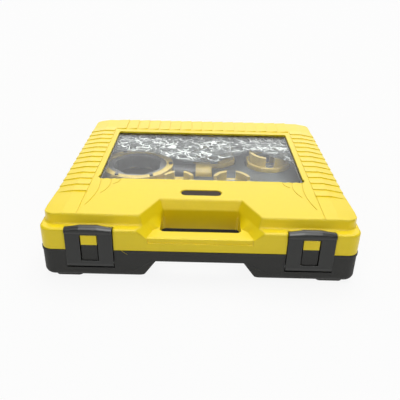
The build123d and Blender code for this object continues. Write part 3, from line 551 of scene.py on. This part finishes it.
@dataclass(frozen=True)
class PaintedCasting(Finish):
    """A casting under glossy paint, with orange peel and small chips on its edges.

    Attributes:
        colour: the paint's colour.
        metal: the bare metal's colour.
        roughness: the paint's roughness.
        chips: how much of the edges is chipped, 0 to 1.
        edge_round: radius of its edges in metres.
        edge_reach: how far from an edge the chips go, in metres.
        peel: height of the orange peel in millimetres.
        sand: height of the casting's lumps in millimetres.
        coat: thickness of the paint in millimetres.
    """

    colour: Colour
    metal: Colour = (0.34, 0.34, 0.35, 1.0)
    roughness: float = 0.32
    chips: float = 0.35
    edge_round: float = 0.0007
    edge_reach: float = 0.0011
    peel: float = 0.03
    sand: float = 0.10
    coat: float = 0.07

    def shader(self, sheet: NodeSheet) -> Socket:
        """The painted casting."""
        cast = sheet.layer(Layer.CAST)
        edge = sheet.edges(self.edge_reach)
        bare = (edge * 0.75 + sheet.layer(Layer.CHIPS) * self.chips).rise(0.66, 0.76)
        paint = sheet.colour_mix(cast.rise(0.3, 0.7), darkened(self.colour, 0.82), self.colour)
        relief = sheet.layer(Layer.PEEL) * self.peel + cast * self.sand - bare * self.coat
        return sheet.surface(
            {
                "Base Color": sheet.colour_mix(bare, paint, self.metal),
                "Metallic": bare,
                "Roughness": self.roughness + (cast - 0.5) * 0.15 + bare * 0.12,
                "Normal": sheet.bump(relief, sheet.rounded(self.edge_round)),
            }
        )


@dataclass(frozen=True)
class MachinedSteel(Finish):
    """Steel turned about an upright axis, with tool marks, oil stains and bright edges.

    Attributes:
        colour: the steel's colour.
        roughness: its roughness.
        centre: where the axis of the turning marks stands, in metres.
        marks: height of the turning marks in millimetres.
        marks_per_metre: how many of them lie side by side in a metre.
        stains: height of the oil stains in millimetres.
        edge_round: radius of its edges in metres.
        edge_reach: how far its edges shine, in metres.
        shine: the grey that its edges tend to.
    """

    colour: Colour
    roughness: float = 0.34
    centre: tuple[float, float] = (0.0, 0.0)
    marks: float = 0.012
    marks_per_metre: float = 2600.0
    stains: float = 0.02
    edge_round: float = 0.0005
    edge_reach: float = 0.0008
    shine: float = 0.75

    def shader(self, sheet: NodeSheet) -> Socket:
        """The steel."""
        flat = sheet.stretched(0.0, (1.0, 1.0, 0.0), (*self.centre, 0.0))
        length = sheet.add("ShaderNodeVectorMath", {"operation": "LENGTH"}, {0: flat})
        radius = Value(sheet, length.outputs["Value"])
        rings = sheet.value(
            "ShaderNodeTexNoise",
            {"noise_dimensions": "1D"},
            {"W": radius, "Scale": self.marks_per_metre, "Detail": 2.0},
        )
        stain = sheet.layer(Layer.STAIN)
        body = sheet.colour_mix(stain.rise(0.35, 0.7), darkened(self.colour, 0.62), self.colour)
        edge = sheet.edges(self.edge_reach) * 0.6
        relief = rings * self.marks + stain * self.stains
        return sheet.surface(
            {
                "Base Color": sheet.colour_mix(edge, body, lifted(self.colour, self.shine, 0.5)),
                "Metallic": 1.0,
                "Roughness": self.roughness + (stain - 0.5) * 0.25 + (rings - 0.5) * 0.1,
                "Normal": sheet.bump(relief, sheet.rounded(self.edge_round)),
            }
        )


@dataclass(frozen=True)
class ClearPane(Finish):
    """Clear acrylic sheet with fine wipe marks, which lets lamp light through.

    Attributes:
        tint: its faint tint.
        ior: how strongly it bends and mirrors light.
        polish: its roughness where it is clean.
        smear: how much a wipe mark or a scratch roughens it.
    """

    tint: Colour = (0.97, 0.985, 0.98, 1.0)
    ior: float = 1.18
    polish: float = 0.015
    smear: float = 0.05

    def shader(self, sheet: NodeSheet) -> Socket:
        """The clear sheet."""
        wiped = sheet.layer(Layer.SMEAR).rise(0.45, 0.8)
        scratch = sheet.scratches(*PANE_SCRATCHES)
        glass = sheet.surface(
            {
                "Base Color": self.tint,
                "Roughness": self.polish + wiped * self.smear + scratch * self.smear,
                "IOR": self.ior,
                "Transmission Weight": 1.0,
            }
        )
        clear = sheet.add("ShaderNodeBsdfTransparent", None, {"Color": self.tint}).outputs[0]
        shadow = sheet.add("ShaderNodeLightPath").outputs["Is Shadow Ray"]
        return sheet.shader_mix(shadow, glass, clear)


@dataclass(frozen=True)
class CrinkledFilm(Finish):
    """Thin film, clear where it lies flat, with a painted shade veil where it is crumpled and a
    painted highlight on its creases.

    Attributes:
        line: the crease attribute's numbers where a crease starts to show and is full.
        shade_veil_cover: how much the painted shade veil hides where the film is crumpled.
        haze: how much the flat film hides.
        shade_veil_dark: darkest colour of the painted shade veil on the crumpled film.
        shade_veil: palest colour of that painted shade veil.
        bright: painted highlight colour on its creases, in place of the light that real creases
            reflect.
        mirror: strength of its mirror reflection.
        dust_rise: height of the dust in millimetres.
    """

    line: Span = (0.3, 0.75)
    shade_veil_cover: float = 0.80
    haze: float = 0.03
    shade_veil_dark: Colour = (0.022, 0.026, 0.026, 1.0)
    shade_veil: Colour = (0.075, 0.082, 0.08, 1.0)
    bright: Colour = (0.72, 0.74, 0.72, 1.0)
    mirror: float = 0.12
    dust_rise: float = 0.05

    def shader(self, sheet: NodeSheet) -> Socket:
        """The film, with its painted shade veil and painted crease highlights."""
        crease, veil = sheet.attribute(CREASE), sheet.attribute(SHADE_VEIL)
        dust = sheet.layer(Layer.DUST)
        patch = sheet.layer(Layer.PATCH)
        # The crumpled film is real, but this dark colour is painted shade that stands in for the
        # dim inside of the case.
        shade_veil = sheet.colour_mix(patch.rise(0.35, 0.65), self.shade_veil_dark, self.shade_veil)
        line = crease.rise(*self.line)
        # Alpha: the creases' painted highlight and the painted shade veil make the film nearly
        # opaque there.
        cover = line * (0.6 + dust * 0.4) + veil * (self.shade_veil_cover + (patch - 0.5) * 0.2) + self.haze
        flat = sheet.add("ShaderNodeNewGeometry").outputs["Normal"]
        return sheet.surface(
            {
                # Colour: the painted crease highlight over the painted shade veil.
                "Base Color": sheet.colour_mix(line, shade_veil, self.bright),
                "Roughness": 0.35 + dust * 0.3,
                "Specular IOR Level": self.mirror,
                "Alpha": sheet.math("MINIMUM", cover, 1.0),
                "Normal": sheet.bump(dust * self.dust_rise, flat),
            }
        )


@dataclass(frozen=True)
class PowderCoat(Finish):
    """Steel tube under fine textured powder coat.

    Attributes:
        colour: the coat's colour.
        steel: colour of the steel that shows on worn edges.
        roughness: its roughness.
        grit: height of its texture in millimetres.
        edge_round: radius of its edges in metres.
        edge_reach: how far from an edge it wears, in metres.
    """

    colour: Colour
    steel: Colour = (0.42, 0.42, 0.43, 1.0)
    roughness: float = 0.42
    grit: float = 0.03
    edge_round: float = 0.0005
    edge_reach: float = 0.0008

    def shader(self, sheet: NodeSheet) -> Socket:
        """The coated steel."""
        tone = sheet.layer(Layer.TONE)
        edge = sheet.edges(self.edge_reach) * sheet.layer(Layer.NICKS).rise(0.35, 0.65)
        body = sheet.colour_mix(tone, darkened(self.colour, 0.8), self.colour)
        relief = sheet.layer(Layer.GRIT) * self.grit
        return sheet.surface(
            {
                "Base Color": sheet.colour_mix(edge * 0.8, body, self.steel),
                "Metallic": edge * 0.9,
                "Roughness": self.roughness + (tone - 0.5) * 0.1,
                "Normal": sheet.bump(relief, sheet.rounded(self.edge_round)),
            }
        )


@dataclass(frozen=True)
class RubberGrip(Finish):
    """Matt black rubber with a fine pebbled skin.

    Attributes:
        colour: its colour.
        pebbles_per_metre: how many pebbles lie side by side in a metre.
        pebble: their height in millimetres.
        dusting: how much light the dust on it adds.
        edge_round: radius of its edges in metres.
    """

    colour: Colour
    pebbles_per_metre: float = 900.0
    pebble: float = 0.12
    dusting: float = 0.05
    edge_round: float = 0.0006

    def shader(self, sheet: NodeSheet) -> Socket:
        """The rubber."""
        skin = sheet.value(
            "ShaderNodeTexVoronoi",
            {"feature": "SMOOTH_F1"},
            {"Vector": sheet.point(), "Scale": self.pebbles_per_metre},
        )
        dust = sheet.layer(Layer.LINT)
        dusty = tuple(part + self.dusting for part in self.colour[:3]) + (1.0,)
        return sheet.surface(
            {
                "Base Color": sheet.colour_mix(dust.rise(0.45, 0.8) * 0.6, self.colour, dusty),
                "Roughness": 0.72 + dust * 0.2,
                "Specular IOR Level": 0.3,
                "Normal": sheet.bump(skin * self.pebble, sheet.rounded(self.edge_round)),
            }
        )


@dataclass(frozen=True)
class StudioFloor(Finish):
    """A white floor that keeps the object's shadow and looks white to the camera.

    Attributes:
        colour: what it bounces onto the object.
        whiteness: how far it is lifted to white for what is seen directly.
    """

    colour: Colour = (0.72, 0.72, 0.71, 1.0)
    whiteness: float = 0.9

    def shader(self, sheet: NodeSheet) -> Socket:
        """The floor's material."""
        roughness = 0.85 + sheet.layer(Layer.PAPER) * 0.1
        lit = sheet.surface(
            {"Base Color": self.colour, "Roughness": roughness, "Specular IOR Level": 0.2}
        )
        glow = sheet.add("ShaderNodeEmission", None, {"Color": WHITE, "Strength": 1.0})
        seen = seen_directly(sheet) * self.whiteness
        return sheet.shader_mix(seen, lit, glow.outputs[0])


def seen_directly(sheet: NodeSheet) -> Value:
    """1 for what the camera, a mirror or clear plastic shows, and 0 for light on matt surfaces."""
    camera, glossy, through = light_path(sheet, *SEEING_RAYS)
    return sheet.math("MAXIMUM", sheet.math("MAXIMUM", camera, glossy), through)


def light_path(sheet: NodeSheet, *names: str) -> list[Value]:
    """What a Light Path node says of a ray, by the names of its outputs."""
    path = sheet.add("ShaderNodeLightPath")
    return [Value(sheet, path.outputs[name]) for name in names]


class Bench:
    """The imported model's nodes, with the finishes that were already made."""

    def __init__(self, frame: dict[str, Any]) -> None:
        """Keep the frame."""
        self.nodes: dict[str, bpy.types.Object] = frame["nodes"]
        self.made: dict[Finish, bpy.types.Material] = {}

    def material(self, finish: Finish) -> bpy.types.Material:
        """Make a finish once, and return it again after that."""
        if finish not in self.made:
            self.made[finish] = finish.make()
        return self.made[finish]

    def dress(self, finishes: dict[str, Finish]) -> Pieces:
        """Give CAD nodes their finishes.

        Args:
            finishes: what each node is made of, by the node's name.

        Returns:
            The nodes' objects.
        """
        pieces = []
        for node, finish in finishes.items():
            piece = self.nodes[node]
            for slot in piece.material_slots:
                slot.material = self.material(finish)
            pieces.append(piece)
        return pieces

    def piece(self, name: str, mesh: bmesh.types.BMesh, finish: Finish) -> bpy.types.Object:
        """Turn a bmesh into an object in the scene, and free it."""
        data = bpy.data.meshes.new(name)
        mesh.to_mesh(data)
        mesh.free()
        piece = bpy.data.objects.new(name, data)
        bpy.context.scene.collection.objects.link(piece)
        data.materials.append(self.material(finish))
        return piece

    def add(
        self, name: str, mesh: bmesh.types.BMesh, body: str, slot: str, finish: Finish
    ) -> bpy.types.Object:
        """Turn a bmesh into a piece that rides on a body.

        Args:
            name: the piece's name.
            mesh: its bmesh, which is freed.
            body: the CAD body that it moves with.
            slot: the record's material slot; not used.
            finish: what it is made of.

        Returns:
            The new piece.
        """
        piece = self.piece(name, mesh, finish)
        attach(piece, body)
        return piece


LID_YELLOW = LidPlastic(
    "lid_yellow_look",
    screen_colour(249, 221, 6),
    roughness=0.33,
    grain=Grain.POLISHED,
    edge_round=0.0008,
    drift=0.04,
    wear=0.2,
)
BASE_BLACK = BaseShellPlastic(
    "base_black_look", screen_colour(49, 49, 47), roughness=0.62, grain=Grain.SPARK, gloss=0.35
)
LATCH_BLACK = MouldedPlastic(
    "latch_black_look", screen_colour(32, 33, 30), roughness=0.32, grain=Grain.SATIN
)
TRAY_GREY = MouldedPlastic(
    "tray_grey_look",
    screen_colour(62, 66, 68),
    roughness=0.5,
    grain=Grain.SATIN,
    edge_round=0.0008,
)
MAT_BLACK = RubberGrip("floor_mat_look", screen_colour(40, 40, 41))
RETAINER_BLACK = MouldedPlastic(
    "retainer_black_look", screen_colour(46, 46, 46), roughness=0.45, grain=Grain.SATIN
)
BADGE_DARK = MouldedPlastic(
    "badge_dark_look",
    screen_colour(52, 42, 30),
    roughness=0.42,
    grain=Grain.SATIN,
    edge_round=0.0004,
    gloss=0.08,
)
PANE = ClearPane("window_pane_look")
FILM = CrinkledFilm("film_look")
TOOL_YELLOW = PaintedCasting("tool_yellow_look", screen_colour(184, 158, 62))
BLACK_SCREW = MachinedSteel("screw_black_look", (0.07, 0.07, 0.075, 1.0), roughness=0.38)
PIN_STEEL = MachinedSteel("pin_steel_look", (0.56, 0.56, 0.57, 1.0), roughness=0.28)
SPRING_STEEL = MachinedSteel("spring_steel_look", (0.45, 0.45, 0.46, 1.0), roughness=0.3)
COVER_STEEL = (0.30, 0.31, 0.32, 1.0)
CHASER_STEEL = (0.24, 0.24, 0.25, 1.0)
RING_STEEL = (0.20, 0.20, 0.205, 1.0)
TUBE_BLACK = PowderCoat("tube_black_look", screen_colour(44, 44, 45))
GRIP_RUBBER = RubberGrip("grip_rubber_look", screen_colour(34, 34, 34))


def middle_of(node: str) -> tuple[float, float]:
    """Where the middle of a node stands, across and along the case, in metres."""
    low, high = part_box(node)
    return ((low.x + high.x) / 2, (low.y + high.y) / 2)


class Assembly:
    """A sub-assembly that can build itself on the bench.

    Attributes:
        finishes: what each of its nodes is made of, by the node's name.
    """

    finishes: ClassVar[dict[str, Finish]] = {}

    def build(self, bench: Bench) -> Pieces:
        """Dress its nodes.

        Args:
            bench: where the nodes and finishes are.

        Returns:
            The pieces.
        """
        return bench.dress(self.finishes)


class CaseBase(Assembly):
    """The black lower shell, with its pins."""

    finishes = {"base_shell": BASE_BLACK, "latch_pins": PIN_STEEL, "hinge_pins": PIN_STEEL}


@dataclass
class CaseLid(Assembly):
    """The yellow upper shell, with its window, badge and a whisker of moulding flash.

    Attributes:
        flash_path: the whisker's points in metres, from the lid's lower edge down.
        flash_radius: its radius at the lid, in metres.
        flash_taper: the share of its radius that it loses by its tip.
        flash_sides: how many sides it has.
    """

    finishes = {
        "lid_shell": LID_YELLOW,
        "window_pane": PANE,
        "window_retainer": RETAINER_BLACK,
        "window_screws": BLACK_SCREW,
        "badge_plate": BADGE_DARK,
    }
    flash_path: tuple[Point, ...] = (
        (-0.0995, -0.1964, 0.0446),
        (-0.0986, -0.1970, 0.0436),
        (-0.0969, -0.1974, 0.0421),
        (-0.0951, -0.1975, 0.0407),
        (-0.0930, -0.1973, 0.0391),
        (-0.0912, -0.1970, 0.0376),
    )
    flash_radius: float = 0.00038
    flash_taper: float = 0.6
    flash_sides: int = 6

    def build(self, bench: Bench) -> Pieces:
        """Dress the lid and add its flash."""
        flash = bench.add("moulding_flash", self._flash(), "lid", "lid_yellow", LID_YELLOW)
        return [*super().build(bench), flash]

    def _flash(self) -> bmesh.types.BMesh:
        """Draw the whisker out of a small ring."""
        mesh = bmesh.new()
        points = [Vector(point) for point in self.flash_path]
        last = len(points) - 1
        ring = bmesh.ops.create_circle(
            mesh, segments=self.flash_sides, radius=self.flash_radius, cap_ends=True
        )["verts"]
        bmesh.ops.translate(mesh, verts=ring, vec=points[0])
        face = mesh.faces[:][0]
        for step, (here, there) in enumerate(zip(points, points[1:]), 1):
            moved = bmesh.ops.extrude_face_region(mesh, geom=[face])["geom"]
            verts = [v for v in moved if isinstance(v, bmesh.types.BMVert)]
            face = next(f for f in moved if isinstance(f, bmesh.types.BMFace))
            bmesh.ops.translate(mesh, verts=verts, vec=there - here)
            share, before = (1 - self.flash_taper * n / last for n in (step, step - 1))
            bmesh.ops.scale(
                mesh, verts=verts, vec=[share / before] * 3, space=Matrix.Translation(-there)
            )
        bmesh.ops.recalc_face_normals(mesh, faces=mesh.faces[:])
        for each in mesh.faces:
            each.smooth = True
        return mesh


class LatchPair(Assembly):
    """The two black latches."""

    finishes = {"latch_left": LATCH_BLACK, "latch_right": LATCH_BLACK}


class ToolTray(Assembly):
    """The tray that holds the tools, and the mat under it."""

    finishes = {
        "tool_tray": TRAY_GREY,
        "tray_walls": TRAY_GREY,
        "tray_supports": TRAY_GREY,
        "floor_mat": MAT_BLACK,
    }


@dataclass
class DieHeads(Assembly):
    """The six die heads, each a body, four chasers, a cover and its screws.

    Attributes:
        sizes: the heads' sizes, as their nodes name them.
    """

    sizes: tuple[str, ...] = HEAD_SIZES

    def build(self, bench: Bench) -> Pieces:
        """Dress every head, with turning marks about its own axis."""
        pieces: Pieces = []
        for size in self.sizes:
            head = f"die_head_{size}"
            middle = middle_of(f"{head}_body")
            cover = MachinedSteel(f"head_cover_{size}_look", COVER_STEEL, 0.36, middle)
            blade = MachinedSteel(f"chaser_{size}_look", CHASER_STEEL, 0.3, middle, marks=0.004)
            pieces += bench.dress(
                {
                    f"{head}_body": TOOL_YELLOW,
                    f"{head}_chasers": blade,
                    f"{head}_cover": cover,
                    f"{head}_screws": PIN_STEEL,
                }
            )
        return pieces


class RatchetHead(Assembly):
    """The ratchet head with its toothed ring, pawl, spring and knob."""

    finishes = {
        "ratchet_housing": TOOL_YELLOW,
        "ratchet_socket_collar": TOOL_YELLOW,
        "ratchet_socket_tube": TUBE_BLACK,
        "ratchet_cover": TOOL_YELLOW,
        "ratchet_screws": BLACK_SCREW,
        "ratchet_pawl": PIN_STEEL,
        "pawl_spring": SPRING_STEEL,
        "pawl_knob": PIN_STEEL,
    }

    def build(self, bench: Bench) -> Pieces:
        """Dress the ratchet head."""
        middle = middle_of("ratchet_drive_ring")
        ring = MachinedSteel("drive_ring_look", RING_STEEL, 0.4, middle, marks=0.02)
        return super().build(bench) + bench.dress({"ratchet_drive_ring": ring})


class HandleTubes(Assembly):
    """The two handle tubes, their coupler and the grip."""

    finishes = {
        "handle_lower": TUBE_BLACK,
        "handle_coupler": TUBE_BLACK,
        "handle_upper": TUBE_BLACK,
        "handle_grip": GRIP_RUBBER,
    }


@dataclass
class ProtectiveFilm(Assembly):
    """The clear film that lies crinkled over the tools.

    Attributes:
        width: flat width in metres.
        length: flat length in metres, front to back.
        shrink: the share of its flat size that is left when it is crinkled.
        middle: its middle, in metres.
        height: height of its lowest point in metres.
        swell: height of its slow waves in metres.
        swells_per_metre: how many of them there are in a metre.
        fold: height of its creases in metres.
        mesh_step: spacing of its points in metres.
        front: where the crinkles and their painted shade veil begin, across and behind the case's
            front, in millimetres.
        shade_veil_band: where, behind that front, the painted shade veil starts and is full, in
            metres.
        crease_band: where the creases start and are full.
        rim: half width in metres of the crease along the front, and how sharp it is.
        nets: each net's size of a cell and half width of a crease in metres, and how sharp it is.
        bends: waves in a metre, and how far in metres they bend the nets.
        gap_scale: how many stretches without creases there are to a cell.
        gap_shift: how far apart the nets read the noise of those stretches.
        gap_band: the noise where a stretch has no creases and where it has all.
        seed: where the noise is read.
        draw: seed of the offsets inside noise_vector, which differ from run to run without it.
    """

    width: float = 0.300
    length: float = 0.222
    shrink: float = 0.992
    middle: tuple[float, float] = (0.002, 0.0645)
    height: float = 0.0713
    swell: float = 0.0014
    swells_per_metre: float = 26.0
    fold: float = 0.0018
    mesh_step: float = 0.0009
    front: tuple[Span, ...] = (
        (-162, 251), (-138, 253), (-112, 252), (-87, 252), (-61, 236), (-39, 220), (-19, 214),
        (5, 213), (24, 216), (38, 229), (49, 238), (63, 252), (81, 269), (101, 263),
        (113, 246), (128, 235), (143, 223), (152, 212),
    )
    shade_veil_band: Span = (-0.003, 0.006)
    crease_band: Span = (-0.001, 0.004)
    rim: Span = (0.0012, 0.8)
    nets: tuple[Point, ...] = ((0.022, 0.0008, 1.0), (0.013, 0.0006, 0.95), (0.008, 0.0005, 0.7))
    bends: tuple[Span, Span] = ((45.0, 0.011), (140.0, 0.0022))
    gap_scale: float = 0.6
    gap_shift: float = 90.0
    gap_band: Span = (-0.2, 0.0)
    seed: Point = (3.7, 1.9, 0.4)
    draw: int = 2

    def build(self, bench: Bench) -> Pieces:
        """Lay the film in place of its plain solid."""
        noise.seed_set(self.draw)
        mesh = self._sheet()
        crease = mesh.verts.layers.float.new(CREASE)
        veil = mesh.verts.layers.float.new(SHADE_VEIL)
        for vert in mesh.verts:
            place = vert.co.copy()
            behind = place.y - FRONT - self._front_at(place.x)
            # Mask of the painted shade veil over the crumpled film.
            vert[veil] = between(behind, *self.shade_veil_band)
            vert[crease] = self._crease(place, behind) if vert[veil] > 0 else 0.0
            swell = Vector((place.x, place.y, 0)) * self.swells_per_metre
            swell.z = self.seed[2]
            wave = 0.5 + 0.5 * noise.noise(swell)
            vert.co.z += self.swell * wave + self.fold * vert[crease]
        for face in mesh.faces:
            face.smooth = True
        log.info("film area %.4f m2", sum(face.calc_area() for face in mesh.faces))
        film = bench.add("crinkled_film", mesh, "base", "clear_film", FILM)
        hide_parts("protective_film")
        return [film]

    def _sheet(self) -> bmesh.types.BMesh:
        """Draw the film flat, in its place."""
        mesh = bmesh.new()
        counts = [round(size / self.mesh_step) for size in (self.width, self.length)]
        bmesh.ops.create_grid(mesh, x_segments=counts[0], y_segments=counts[1], size=0.5)
        size = (self.width * self.shrink, self.length * self.shrink, 1)
        bmesh.ops.scale(mesh, verts=mesh.verts, vec=size)
        bmesh.ops.translate(mesh, verts=mesh.verts, vec=(*self.middle, self.height))
        return mesh

    def _front_at(self, across: float) -> float:
        """How far behind the case's front the crinkles begin at a place across it, in metres."""
        for (x0, d0), (x1, d1) in zip(self.front, self.front[1:]):
            if across / MM <= x1:
                share = min(1.0, max(0.0, (across / MM - x0) / (x1 - x0)))
                return (d0 + (d1 - d0) * share) * MM
        return self.front[-1][1] * MM

    def _crease(self, place: Vector, behind: float) -> float:
        """How sharply the film is creased at a place, 0 to 1.

        Args:
            place: the place in metres.
            behind: how far it is behind the front of the crinkles, in metres.

        Returns:
            The crease amount.
        """
        origin = Vector(self.seed)
        bend, curl = (
            noise.noise_vector(Vector((place.x * waves, place.y * waves, 0)) + origin) * reach
            for waves, reach in self.bends
        )
        spot = Vector((place.x, place.y, 0)) + Vector((bend.x + curl.x, bend.y + curl.y, 0))
        rim_half, rim_sharpness = self.rim
        sharpest = bell(behind / rim_half) * rim_sharpness
        for size, half, sharpness in self.nets:
            near = noise.voronoi(spot / size + origin)[0]
            gap = (near[1] - near[0]) * size
            stretch = [x / size * self.gap_scale for x in (place.x, place.y)]
            keep = between(noise.noise(Vector((*stretch, size * self.gap_shift))), *self.gap_band)
            sharpest = max(sharpest, bell(gap / half) * sharpness * keep)
        return min(1.0, sharpest * between(behind, *self.crease_band))


@dataclass
class Studio(Assembly):
    """Camera, lamp, sky and floor.

    The panel and the softbox are parts of the sky that only reflections show. Each of their spans
    is where one fades in and is full, as a part of a unit direction.

    Attributes:
        place: the camera's place in metres.
        azimuth: its turn to the right of straight ahead, in degrees.
        down: how far it looks down, in degrees.
        roll: its roll, in degrees.
        lens: its focal length in millimetres.
        sensor: width of its sensor in millimetres.
        clip: how near and how far it sees, in metres.
        lamp_strength: the lamp's strength.
        lamp_height: the lamp's height over the horizon, in degrees.
        lamp_turn: the lamp's turn from straight in front, in degrees.
        lamp_width: the lamp's apparent width, in degrees.
        sky: strength of the sky on matt surfaces.
        dim: strength of the sky in reflections, away from the panel.
        panel: what the panel behind the case adds to it.
        panel_half: the panel's side.
        panel_depth: its near edge.
        panel_up: its lower edge.
        softbox: what the long softbox over the case adds to it.
        softbox_half: the softbox's side.
        softbox_near: its near edge.
        softbox_far: its far edge.
        softbox_up: its lower edge.
        bounces: the bounces where clear plastic stops and starts to show the white sky.
        floor_size: side of the floor in metres.
        floor_drop: how far it lies under the case's feet, in metres.
    """

    place: Point = (-0.0003, -0.7215, 0.3926)
    azimuth: float = -0.11
    down: float = 27.67
    roll: float = 1.30
    lens: float = 45.0
    sensor: float = 36.0
    clip: Span = (0.01, 100.0)
    lamp_strength: float = 1.78
    lamp_height: float = 72.0
    lamp_turn: float = 160.0
    lamp_width: float = 50.0
    sky: float = 0.49
    dim: float = 0.03
    panel: float = 1.7
    panel_half: Span = (0.66, 0.22)
    panel_depth: Span = (0.05, 0.55)
    panel_up: Span = (-0.1, 0.1)
    softbox: float = 9.0
    softbox_half: Span = (0.38, 0.06)
    softbox_near: Span = (-0.95, -0.85)
    softbox_far: Span = (-0.1, -0.3)
    softbox_up: Span = (0.25, 0.4)
    bounces: Span = (0.9, 0.1)
    floor_size: float = 60.0
    floor_drop: float = 0.0002

    def build(self, bench: Bench) -> Pieces:
        """Set up the studio."""
        bpy.context.scene.view_settings.view_transform = "Standard"
        self._sky()
        return [self._camera(), self._lamp(), self._floor(bench)]

    def _camera(self) -> bpy.types.Object:
        """Place the camera."""
        turn, tip, roll = (math.radians(x) for x in (self.azimuth, self.down, self.roll))
        flat = math.cos(tip)
        ahead = Vector((math.sin(turn) * flat, math.cos(turn) * flat, -math.sin(tip)))
        level = Vector((math.cos(turn), -math.sin(turn), 0))
        above = level.cross(ahead)
        right = math.cos(roll) * level + math.sin(roll) * above
        up = -math.sin(roll) * level + math.cos(roll) * above
        data = bpy.data.cameras.new("camera")
        data.lens, data.sensor_width = self.lens, self.sensor
        data.clip_start, data.clip_end = self.clip
        camera = bpy.data.objects.new("camera", data)
        turned = Matrix((right, up, -ahead)).transposed().to_4x4()
        camera.matrix_world = Matrix.Translation(self.place) @ turned
        bpy.context.scene.collection.objects.link(camera)
        bpy.context.scene.camera = camera
        return camera

    def _lamp(self) -> bpy.types.Object:
        """Hang the wide lamp."""
        data = bpy.data.lights.new("lamp", "SUN")
        data.energy, data.angle = self.lamp_strength, math.radians(self.lamp_width)
        lamp = bpy.data.objects.new("lamp", data)
        turn, tip = math.radians(self.lamp_turn), math.radians(self.lamp_height)
        flat = math.cos(tip)
        toward = Vector((math.sin(turn) * flat, -math.cos(turn) * flat, math.sin(tip)))
        lamp.rotation_mode = "QUATERNION"
        lamp.rotation_quaternion = toward.to_track_quat("Z", "Y")
        bpy.context.scene.collection.objects.link(lamp)
        return lamp

    def _sky(self) -> None:
        """Light the world: white to the camera, with a panel and a softbox in reflections."""
        world = bpy.data.worlds.new("studio")
        world.use_nodes = True
        bpy.context.scene.world = world
        sheet = NodeSheet(world.node_tree)
        across, depth, up = sheet.split(sheet.add("ShaderNodeTexCoord").outputs["Generated"])
        panel = abs(across).rise(*self.panel_half) * depth.rise(*self.panel_depth)
        softbox = abs(across).rise(*self.softbox_half) * depth.rise(*self.softbox_near)
        panel = panel * up.rise(*self.panel_up)
        softbox = softbox * depth.rise(*self.softbox_far) * up.rise(*self.softbox_up)
        camera, glossy, through, diffuse_depth, glossy_depth = light_path(
            sheet, *SEEING_RAYS, "Diffuse Depth", "Glossy Depth"
        )
        mirrored = panel * self.panel + softbox * self.softbox + self.dim
        straight = through * diffuse_depth.rise(*self.bounces) * glossy_depth.rise(*self.bounces)
        seen = sheet.math("MAXIMUM", camera, straight)
        strength = glossy * (mirrored - self.sky) + seen * (1.0 - self.sky) + self.sky
        glow = sheet.add("ShaderNodeBackground", None, {"Color": WHITE, "Strength": strength})
        sheet.add("ShaderNodeOutputWorld", None, {"Surface": glow.outputs[0]})

    def _floor(self, bench: Bench) -> bpy.types.Object:
        """Lay the floor."""
        mesh = bmesh.new()
        bmesh.ops.create_grid(mesh, x_segments=1, y_segments=1, size=self.floor_size / 2)
        bmesh.ops.translate(mesh, verts=mesh.verts, vec=(0, 0, -self.floor_drop))
        floor = bench.piece("floor", mesh, StudioFloor("floor_look"))
        return floor


def main() -> None:
    """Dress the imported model, build what it lacks, and set up the studio."""
    logging.basicConfig(level=logging.INFO, format="%(name)s: %(message)s")
    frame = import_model()
    bench = Bench(frame)
    assemblies: list[Assembly] = [
        CaseBase(),
        CaseLid(),
        LatchPair(),
        ToolTray(),
        DieHeads(),
        RatchetHead(),
        HandleTubes(),
        ProtectiveFilm(),
        Studio(),
    ]
    for assembly in assemblies:
        for piece in assembly.build(bench):
            log.info("%s: %s", type(assembly).__name__, piece.name)


if __name__ == "__main__":
    main()
